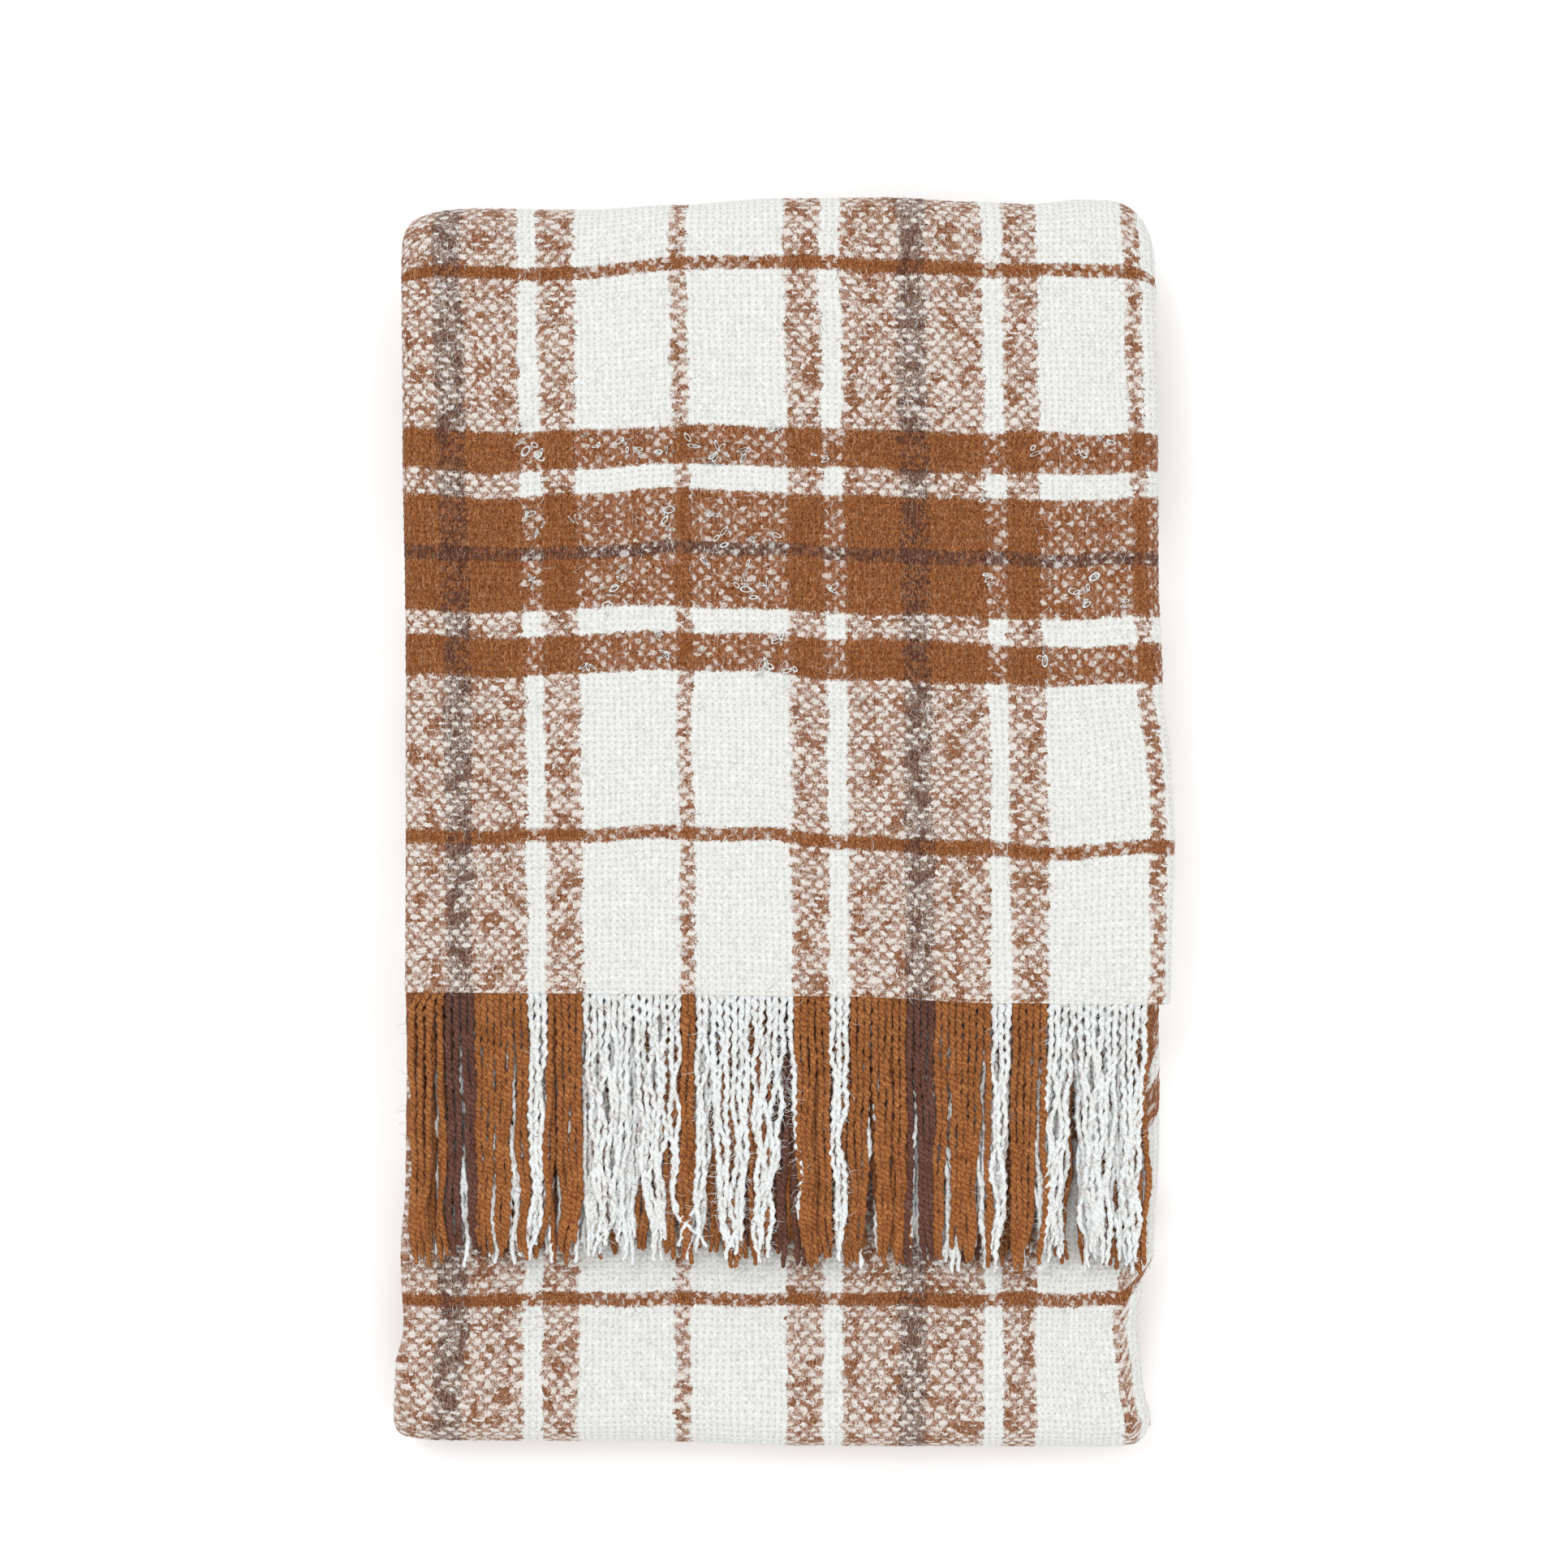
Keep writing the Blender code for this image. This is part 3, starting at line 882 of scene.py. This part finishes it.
# Sizes of the patterns, in millimetres
TUFT_OF_FIBRES = 1.923  # curled fibres that carry a colour over its neighbour
CLOTH_FIBRE = 0.6667  # a fibre is 0.2 mm wide, too fine to show, so it is drawn coarser
COMBED_WIDE, COMBED_LONG = 0.5263, 2.381  # the brushed haze, combed along the cloth
YARN_FIBRE = 0.7143  # drawn coarser in the same way
YARN_PATCH = 8.333  # paler and darker lengths of a fringe yarn
FIBRE_PATCH = 1.111  # paler and darker lengths of a raised fibre
PAPER_GRAIN = 2.5

WHITE = linear("#FFFFFF")
GAP_SHADE = linear("#E7E6E3")  # the slight shade in the gaps of the weave
PALE_FIBRE = linear("#D4AE90")  # a cream fibre that lies over dyed yarn
PAPER_TOOTH = linear("#F3F3F3")
WARM_GAIN = (1.10, 0.95, 0.87, 1.0)  # a gain and not a colour: it warms the haze over the dye


def scale_of(size):
    """The scale that gives a pattern in metres a size in millimetres."""
    return 1000 / size


def dyed_tone(tree, shade):
    """A shade that deepens towards red-brown, as light does between dyed fibres."""
    return add(tree, "CombineColor", None, shade, add(tree, "Math", POWER, shade, 1.35),
               add(tree, "Math", POWER, shade, 1.7))


def cloth_shader(tree, colour, height, distance):
    """A dry, softly hairy surface: full roughness, and a sheen from the raised fibres."""
    bump = add(tree, "Bump", None, Strength=0.8, Distance=distance, Height=height)
    shader = add(tree, "BsdfPrincipled", None, Base_Color=colour, Normal=bump, Roughness=0.95,
                 IOR=1.5, Specular_IOR_Level=0.05, Sheen_Weight=0.08, Sheen_Roughness=0.6)
    add(tree, "OutputMaterial", None, shader)


def fresh_material(name):
    """A new material with an empty node tree."""
    material = bpy.data.materials.new(name)
    material.use_nodes = True
    material.node_tree.nodes.clear()
    return material, material.node_tree


def make_woven_cloth(name, colours):
    """Brushed boucle cloth, plain woven in wool and acrylic. The full weft lies as short dashes
    over the warp, and brushing has lifted a haze of fibres of both colours over the face."""
    material, tree = fresh_material(name)
    thread = add(tree, "UVMap", {"uv_map": "threads"})
    # each yarn wanders by about a quarter of its spacing, so the dashes tilt and vary
    wander = add(tree, "TexNoise", FLAT, thread, Scale=0.75, Detail=2.0, Roughness=0.6)
    shift = add(tree, "VectorMath", TIMES_PLUS, wander.outputs["Color"], (2.1, 0.85, 0.0),
                (-1.05, -0.42, 0.0))
    strayed = add(tree, "VectorMath", PLUS, thread, shift)
    split = add(tree, "SeparateXYZ", None, strayed)
    end, pick = split.outputs["X"], split.outputs["Y"]
    # fibres carry each colour a little way over its neighbour, which leaves ragged edges
    place = add(tree, "TexCoord").outputs["Object"]
    curl = add(tree, "TexNoise", None, place, Scale=scale_of(TUFT_OF_FIBRES), Detail=3.0,
               Roughness=0.7, Distortion=2.6)
    ragged = add(tree, "VectorMath", TIMES_PLUS, curl.outputs["Color"], (2.2, 1.9, 0.0),
                 (-1.1, -0.95, 0.0))
    dye = add(tree, "SeparateXYZ", None, add(tree, "VectorMath", PLUS, strayed, ragged))
    warp = sett_colour(tree, dye.outputs["X"], WARP_REPEAT, WARP_SETT, colours)
    weft = sett_colour(tree, dye.outputs["Y"], WEFT_REPEAT, WEFT_SETT, colours)
    end_wave = add(tree, "Math", SINE, add(tree, "Math", TIMES, end, math.pi))
    pick_wave = add(tree, "Math", SINE, add(tree, "Math", TIMES, pick, math.pi))
    # a pick lies as a dash, longer than it is high, where it crosses over an end
    flatten = add(tree, "Math", POWER, add(tree, "Math", SIZE, pick_wave), 1.3)
    near_end = add(tree, "Math", PLUS, add(tree, "Math", SIZE, end_wave), 0.05)
    dash = add(tree, "Math", TIMES, flatten, add(tree, "Math", POWER, near_end, -0.75))
    # and an end shows as an upright oval where it crosses over a pick
    near_pick = add(tree, "Math", PLUS, add(tree, "Math", SIZE, pick_wave), 0.15)
    oval = add(tree, "Math", TIMES, add(tree, "Math", SIZE, end_wave),
               add(tree, "Math", POWER, near_pick, -0.45))
    crossing = add(tree, "Math", TIMES, end_wave, pick_wave)
    knot = add(tree, "Mix", None, add(tree, "Math", ABOVE, crossing, 0.0), dash, oval)
    over = add(tree, "Math", TIMES, crossing, knot)
    # single fibres, and the haze of them that the brush has combed
    fibre = add(tree, "TexNoise", None, place, Scale=scale_of(CLOTH_FIBRE), Detail=3.0,
                Roughness=0.65, Distortion=1.2)
    wide, long = scale_of(COMBED_WIDE), scale_of(COMBED_LONG)
    combed = add(tree, "Mapping", None, place, Scale=(wide, long, long))
    nap = add(tree, "TexNoise", None, combed, Scale=1.0, Detail=2.0, Roughness=0.6,
              Distortion=1.6)
    # slubs, the thick soft places in a yarn, 5 to 10 mm long
    slub = add(tree, "TexNoise", FLAT, thread, Scale=0.36, Detail=1.5)
    slubs = add(tree, "MapRange", EASED, slub, 0.54, 0.63, 0.0, 1.0)
    cells = add(tree, "VectorMath", FLOOR, strayed)
    chance = add(tree, "TexWhiteNoise", FLAT, cells)
    # the dyed yarns are hairier than the cream, so they hide more of it than it does of them
    warp_light = add(tree, "RGBToBW", None, warp)
    weft_light = add(tree, "RGBToBW", None, weft)
    paler_weft = add(tree, "Math", MINUS, weft_light, warp_light)
    contrast = add(tree, "Math", SIZE, paler_weft)
    fuller = add(tree, "Math", TIMES_PLUS, paler_weft, -0.30, 0.26)
    # the umber ends lie proud, as one dark line
    proud = add(tree, "MapRange", EASED, warp_light, 0.07, 0.10, 0.26, 0.0)
    fuller = add(tree, "Math", MINUS, fuller, proud)
    lean = add(tree, "Math", TIMES_PLUS, curl, 2.6, -1.3)
    lean = add(tree, "Math", TIMES_PLUS, fibre, 1.6, add(tree, "Math", PLUS, lean, -0.8))
    lean = add(tree, "Math", TIMES_PLUS, chance, 0.6, add(tree, "Math", PLUS, lean, -0.3))
    lean = add(tree, "Math", MINUS, add(tree, "Math", PLUS, lean, fuller), over)
    slub_pull = add(tree, "Math", TIMES_PLUS, fuller, 3.2, -0.80)
    lean = add(tree, "Math", TIMES_PLUS, slubs, slub_pull, lean)
    cover = add(tree, "MapRange", EASED, lean, -0.22, 0.50, 0.0, 1.0)
    colour = add(tree, "Mix", BLEND, cover, warp, weft)
    # the brushed haze carries fibres of the other yarn over both, warmed by the dye around it
    share = add(tree, "MapRange", EASED, fuller, 0.0, 0.45, 0.62, 0.90)
    even = add(tree, "Mix", BLEND, share, warp, weft)
    warmed = add(tree, "MapRange", EASED, contrast, 0.1, 0.6, 0.0, 1.0)
    warmth = add(tree, "Mix", BLEND, warmed, WHITE, WARM_GAIN)
    even = add(tree, "Mix", DYE_OVER, 1.0, even, warmth)
    haze = add(tree, "MapRange", EASED, nap, 0.38, 0.62, 0.12, 0.66)
    clear = add(tree, "MapRange", EASED, slubs, 0.0, 1.0, 1.0, 0.35)
    colour = add(tree, "Mix", BLEND, add(tree, "Math", TIMES, haze, clear), colour, even)
    fibre_shade = add(tree, "MapRange", EASED, fibre, 0.36, 0.64, 0.60, 1.26)
    nap_shade = add(tree, "MapRange", EASED, nap, 0.36, 0.64, 0.80, 1.14)
    curl_shade = add(tree, "MapRange", EASED, curl, 0.36, 0.64, 0.68, 1.18)
    shade = add(tree, "Math", TIMES, add(tree, "Math", TIMES, fibre_shade, nap_shade), curl_shade)
    # painted shade in the tiny gaps where four threads meet, in a true grid
    slight = add(tree, "VectorMath", TIMES_PLUS, shift, (0.24, 0.34, 0.0), thread)
    half_turns = add(tree, "VectorMath", TIMES, slight, (math.pi, math.pi, 0.0))
    grid = add(tree, "SeparateXYZ", None, half_turns)
    from_end = add(tree, "Math", SIZE, add(tree, "Math", SINE, grid.outputs["X"]))
    from_pick = add(tree, "Math", SIZE, add(tree, "Math", SINE, grid.outputs["Y"]))
    corner = add(tree, "Math", TIMES, add(tree, "Math", MINUS, 1.0, from_end),
                 add(tree, "Math", MINUS, 1.0, from_pick))
    # painted shade: up to a fifth darker where the threads meet
    gaps = add(tree, "MapRange", EASED, corner, 0.12, 0.62, 1.0, 0.80)
    tone = dyed_tone(tree, add(tree, "Math", TIMES, shade, gaps))
    # shading darkens the dyed yarns more than the cream, which light passes through
    bright = add(tree, "RGBToBW", None, colour)
    strength = add(tree, "MapRange", EASED, bright, 0.1, 0.7, 1.0, 0.26)
    colour = add(tree, "Mix", DYE_OVER, strength, colour, tone)
    # painted shade: the gaps are also darkened towards GAP_SHADE
    painted_gap_shade_mask = add(tree, "MapRange", EASED, corner, 0.10, 0.60, 0.0, 1.0)
    colour = add(tree, "Mix", DYE_OVER, painted_gap_shade_mask, colour, GAP_SHADE)
    # single pale fibres over the dyed bands
    pale = add(tree, "MapRange", EASED, nap, 0.53, 0.66, 0.0, 0.34)
    on_dyed = add(tree, "MapRange", EASED, bright, 0.1, 0.5, 1.0, 0.0)
    pale = add(tree, "Math", TIMES, pale, on_dyed)
    colour = add(tree, "Mix", BLEND, pale, colour, PALE_FIBRE)
    height = add(tree, "Math", TIMES_PLUS, add(tree, "Math", SIZE, over), 0.6,
                 add(tree, "Math", TIMES, fibre, 0.5))
    cloth_shader(tree, colour, height, 0.0007)
    return material


def make_fringe_yarn(name, colours):
    """Two-fold boucle yarn, twisted: hairy strands, with a painted highlight on the crest of each
    turn and painted shade in the groove between them."""
    material, tree = fresh_material(name)
    split = add(tree, "SeparateXYZ", None, add(tree, "UVMap", {"uv_map": "threads"}))
    warp = sett_colour(tree, split, WARP_REPEAT, WARP_SETT, colours)
    place = add(tree, "TexCoord").outputs["Object"]
    fibre = add(tree, "TexNoise", None, place, Scale=scale_of(YARN_FIBRE), Detail=3.0,
                Roughness=0.65, Distortion=1.0)
    patch = add(tree, "TexNoise", None, place, Scale=scale_of(YARN_PATCH), Detail=2.0)
    # painted shade: two folds twisted together, a dark line of shade in the groove between them at
    # each half turn of about 2.4 mm, and a slight painted highlight on each crest
    lay = add(tree, "Math", TIMES_PLUS, split.outputs["X"], 1.25,
              add(tree, "Math", TIMES, split.outputs["Y"], 1.1))
    lay = add(tree, "Math", PLUS, lay, add(tree, "Math", TIMES, patch, 2.0))
    rope = add(tree, "Math", SIZE, add(tree, "Math", SINE, add(tree, "Math", TIMES, lay, math.pi)))
    rope_shade = add(tree, "MapRange", EASED, rope, 0.0, 0.7, 0.58, 1.08)
    fibre_shade = add(tree, "MapRange", EASED, fibre, 0.36, 0.64, 0.76, 1.62)
    patch_shade = add(tree, "MapRange", EASED, patch, 0.3, 0.7, 0.86, 1.12)
    shade = add(tree, "Math", TIMES, add(tree, "Math", TIMES, fibre_shade, patch_shade), rope_shade)
    tone = dyed_tone(tree, shade)
    bright = add(tree, "RGBToBW", None, warp)
    strength = add(tree, "MapRange", EASED, bright, 0.1, 0.8, 1.0, 0.22)
    cloth_shader(tree, add(tree, "Mix", DYE_OVER, strength, warp, tone), fibre, 0.0005)
    return material


def make_raised_fibre(name, colours):
    """Single wool fibres that brushing has pulled out of the yarns: fine hairs with a slight
    sheen, each with its own yarn's dye."""
    material, tree = fresh_material(name)
    thread = add(tree, "UVMap", {"uv_map": "threads"})
    split = add(tree, "SeparateXYZ", None, thread)
    warp = sett_colour(tree, split.outputs["X"], WARP_REPEAT, WARP_SETT, colours)
    weft = sett_colour(tree, split.outputs["Y"], WEFT_REPEAT, WEFT_SETT, colours)
    chance = add(tree, "TexWhiteNoise", FLAT, thread)
    colour = add(tree, "Mix", BLEND, add(tree, "Math", ABOVE, chance, 0.5), warp, weft)
    place = add(tree, "TexCoord").outputs["Object"]
    along = add(tree, "TexNoise", None, place, Scale=scale_of(FIBRE_PATCH))
    tone = dyed_tone(tree, add(tree, "MapRange", EASED, along, 0.35, 0.65, 0.9, 1.3))
    colour = add(tree, "Mix", DYE_OVER, 1.0, colour, tone)
    shader = add(tree, "BsdfPrincipled", None, Base_Color=colour, Roughness=0.8,
                 Specular_IOR_Level=0.1, Sheen_Weight=0.1, Sheen_Roughness=0.5)
    add(tree, "OutputMaterial", None, shader)
    return material


def make_floor_paper(name, colours):
    """Matt white background paper, rolled: near-white, with a faint tooth."""
    material, tree = fresh_material(name)
    place = add(tree, "TexCoord").outputs["Object"]
    tooth = add(tree, "TexNoise", None, place, Scale=scale_of(PAPER_GRAIN), Detail=2.0)
    share = add(tree, "MapRange", EASED, tooth, 0.3, 0.7, 0.0, 0.02)
    colour = add(tree, "Mix", BLEND, share, (*colours.floor, 1.0), PAPER_TOOTH)
    add(tree, "OutputMaterial", None,
        add(tree, "BsdfPrincipled", None, Base_Color=colour, Roughness=0.9))
    return material


MATERIALS = {
    "brushed_boucle_plain_weave": make_woven_cloth,
    "twisted_boucle_yarn": make_fringe_yarn,
    "raised_wool_fibre": make_raised_fibre,
    "matt_background_paper": make_floor_paper,
}


def material_named(name):
    """The material of that name, made when it is first asked for."""
    made = bpy.data.materials.get(name)
    return made or MATERIALS[name](name, bpy.context.scene.throw_colours)


# Each end fold lies between two bodies: the first, the second, the y and z of the axis, and whether
# the first is above the axis, 1, or below it, -1.
BENDS = {
    "rear_fold": ("upper_panel", "middle_panel", REAR_Y, REAR_Z, 1),
    "front_fold": ("lower_panel", "middle_panel", FRONT_Y, FRONT_Z, -1),
}


def carry(piece, zone):
    """A panel's piece rides on its body, and an end fold's piece keeps the world place it was made
    at.
    """
    if zone not in BENDS:
        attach(piece, zone)
        return
    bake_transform(piece)


def make_zone(zone, with_fringe=False):
    """One zone of the cloth and its fringe. A panel is a sheet for each strip, and an end fold is
    one sheet."""
    sizes = bpy.context.scene.throw_sizes
    cloth = material_named("brushed_boucle_plain_weave")
    yarn = material_named("twisted_boucle_yarn")
    groups = [STRIPS] if zone in BENDS else [(strip,) for strip in STRIPS]
    for strips in groups:
        name = f"{zone}_cloth" if zone in BENDS else f"{zone}_{strips[0]}_cloth"
        piece, flat, area = cloth_piece(name, zone, strips, cloth, sizes)
        strands = []
        if with_fringe and strips[0].startswith("ply"):
            strands = [make_strands(zone, int(strips[0][-1]), yarn, sizes)]
        carry(piece, zone)
        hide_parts(*(f"{zone}_{strip}" for strip in strips))


def carry_fringe(piece):
    """The visible fringe keeps the world place it was made at."""
    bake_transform(piece)


def make_strands(zone, ply, yarn, sizes):
    """The fringe of one ply: on the lower panel it rides on its panel, on the upper one it keeps
    the world place it was made at.
    """
    piece = fringe_piece(zone, ply, yarn, sizes)
    node = zone.replace("panel", "fringe") + f"_ply_{ply}"
    if zone == "upper_panel":
        carry_fringe(piece)
    else:
        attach(piece, zone)
    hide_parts(node)
    return piece


# Where fibres are raised: the strips that show, how many fibres, and from and to which place
NAPS = {
    "upper_panel": (("ply_1", "side_fold_1_2", "centre_fold_1_4"), 12300, HEM_Y, REAR_Y),
    "rear_fold": (("ply_1", "side_fold_1_2", "centre_fold_1_4"), 3200, 0.0, math.pi * 0.8),
    "middle_panel": (("ply_4", "side_fold_3_4", "centre_fold_1_4"), 4200, FRONT_Y, -0.165),
    "front_fold": (("ply_4", "side_fold_3_4", "centre_fold_1_4"), 2600, 0.0, math.pi * 0.8),
}


class THROW_OT_nap(bpy.types.Operator):
    """Make the raised fibres of the brushed face"""

    bl_idname = "throw.nap"
    bl_label = "Raised Fibres"

    def execute(self, context):
        fibre = material_named("raised_wool_fibre")
        sizes = context.scene.throw_sizes
        for seed, (zone, row) in enumerate(NAPS.items(), NAP_SEED):
            strips, count, low, high = row
            piece = nap_piece(zone, strips, count, low, high, fibre, sizes, seed)
            carry(piece, zone)
        hairs = fringe_nap("upper_panel", ((1, 9800), (2, 2400)), fibre, sizes)
        carry_fringe(hairs)
        return {"FINISHED"}


class THROW_OT_loops(bpy.types.Operator):
    """Make the small boucle loops on the camel bands of the upper panel"""

    bl_idname = "throw.loops"
    bl_label = "Boucle Loops"

    def execute(self, context):
        yarn = material_named("twisted_boucle_yarn")
        sizes = context.scene.throw_sizes
        piece = loops_piece("upper_panel", 0.06, 0.175, 150, yarn, sizes)
        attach(piece, "upper_panel")
        return {"FINISHED"}


class THROW_OT_lower_panel(bpy.types.Operator):
    """Make the lower panel and its hidden fringe"""

    bl_idname = "throw.lower_panel"
    bl_label = "Lower Panel"

    def execute(self, context):
        make_zone("lower_panel", with_fringe=True)
        return {"FINISHED"}


class THROW_OT_middle_panel(bpy.types.Operator):
    """Make the middle panel"""

    bl_idname = "throw.middle_panel"
    bl_label = "Middle Panel"

    def execute(self, context):
        make_zone("middle_panel")
        return {"FINISHED"}


class THROW_OT_upper_panel(bpy.types.Operator):
    """Make the upper panel and the fringe that lies over the front"""

    bl_idname = "throw.upper_panel"
    bl_label = "Upper Panel"

    def execute(self, context):
        make_zone("upper_panel", with_fringe=True)
        return {"FINISHED"}


class THROW_OT_end_folds(bpy.types.Operator):
    """Make the front fold and the rear fold"""

    bl_idname = "throw.end_folds"
    bl_label = "End Folds"

    def execute(self, context):
        make_zone("front_fold")
        make_zone("rear_fold")
        return {"FINISHED"}


def soft_light(name, place, aim, size, power):
    """A square soft box that faces a point."""
    lamp = bpy.data.lights.new(name, "AREA")
    lamp.shape = "SQUARE"
    lamp.size = size
    lamp.energy = power
    box_light = bpy.data.objects.new(name, lamp)
    bpy.context.scene.collection.objects.link(box_light)
    box_light.location = place
    from_here = Vector(aim) - Vector(place)
    box_light.rotation_euler = from_here.to_track_quat("-Z", "Y").to_euler()


class THROW_OT_stage(bpy.types.Operator):
    """Make the floor, the soft light and the camera"""

    bl_idname = "throw.stage"
    bl_label = "Stage"

    def execute(self, context):
        scene = context.scene
        bpy.ops.object.select_all(action="DESELECT")
        bpy.ops.mesh.primitive_plane_add(size=8.0, location=(0, 0, -0.0005))
        floor = context.object
        floor.name = "floor"
        floor.data.materials.append(material_named("matt_background_paper"))
        world = bpy.data.worlds.new("studio")
        world.use_nodes = True
        sky = world.node_tree.nodes["Background"]
        sky.inputs["Color"].default_value = WHITE
        sky.inputs["Strength"].default_value = 0.98
        scene.world = world
        middle = (0, 0, 0.03)
        soft_light("main_soft_box", (-0.7, 0.9, 2.0), middle, size=1.2, power=16)
        soft_light("fill_soft_box", (1.0, -0.8, 1.8), middle, size=1.4, power=9)
        scene.view_settings.view_transform = "Standard"
        # straight above, far enough away to see view_width at the cloth's face
        view_width, view_y, face_z = 0.653, 0.0159, 0.05
        lens = bpy.data.cameras.new("camera")
        lens.lens = 100
        lens.sensor_width = 36
        camera = bpy.data.objects.new("camera", lens)
        scene.collection.objects.link(camera)
        away = view_width * lens.lens / lens.sensor_width
        camera.location = (0, view_y, face_z + away)
        camera.rotation_euler = (0, 0, 0)
        scene.camera = camera
        return {"FINISHED"}


class THROW_PT_panel(bpy.types.Panel):
    """Lists the pieces of the throw and the sizes and colours they take"""

    bl_idname = "THROW_PT_panel"
    bl_label = "Folded Throw"
    bl_space_type = "VIEW_3D"
    bl_region_type = "UI"
    bl_category = "Throw"

    def draw(self, context):
        layout = self.layout
        for operator in OPERATORS:
            layout.operator(operator.bl_idname)
        for group in (context.scene.throw_sizes, context.scene.throw_colours):
            for name in group.__annotations__:
                layout.prop(group, name)


OPERATORS = (
    THROW_OT_lower_panel,
    THROW_OT_end_folds,
    THROW_OT_middle_panel,
    THROW_OT_upper_panel,
    THROW_OT_nap,
    THROW_OT_loops,
    THROW_OT_stage,
)
CLASSES = (ThrowSizes, ThrowColours, *OPERATORS, THROW_PT_panel)


def register():
    for each in CLASSES:
        bpy.utils.register_class(each)
    bpy.types.Scene.throw_sizes = PointerProperty(type=ThrowSizes)
    bpy.types.Scene.throw_colours = PointerProperty(type=ThrowColours)


def unregister():
    del bpy.types.Scene.throw_colours
    del bpy.types.Scene.throw_sizes
    for each in reversed(CLASSES):
        bpy.utils.unregister_class(each)


def main():
    register()
    bpy.ops.throw.lower_panel()
    bpy.ops.throw.end_folds()
    bpy.ops.throw.middle_panel()
    bpy.ops.throw.upper_panel()
    bpy.ops.throw.nap()
    bpy.ops.throw.loops()
    bpy.ops.throw.stage()


if __name__ == "__main__":
    main()
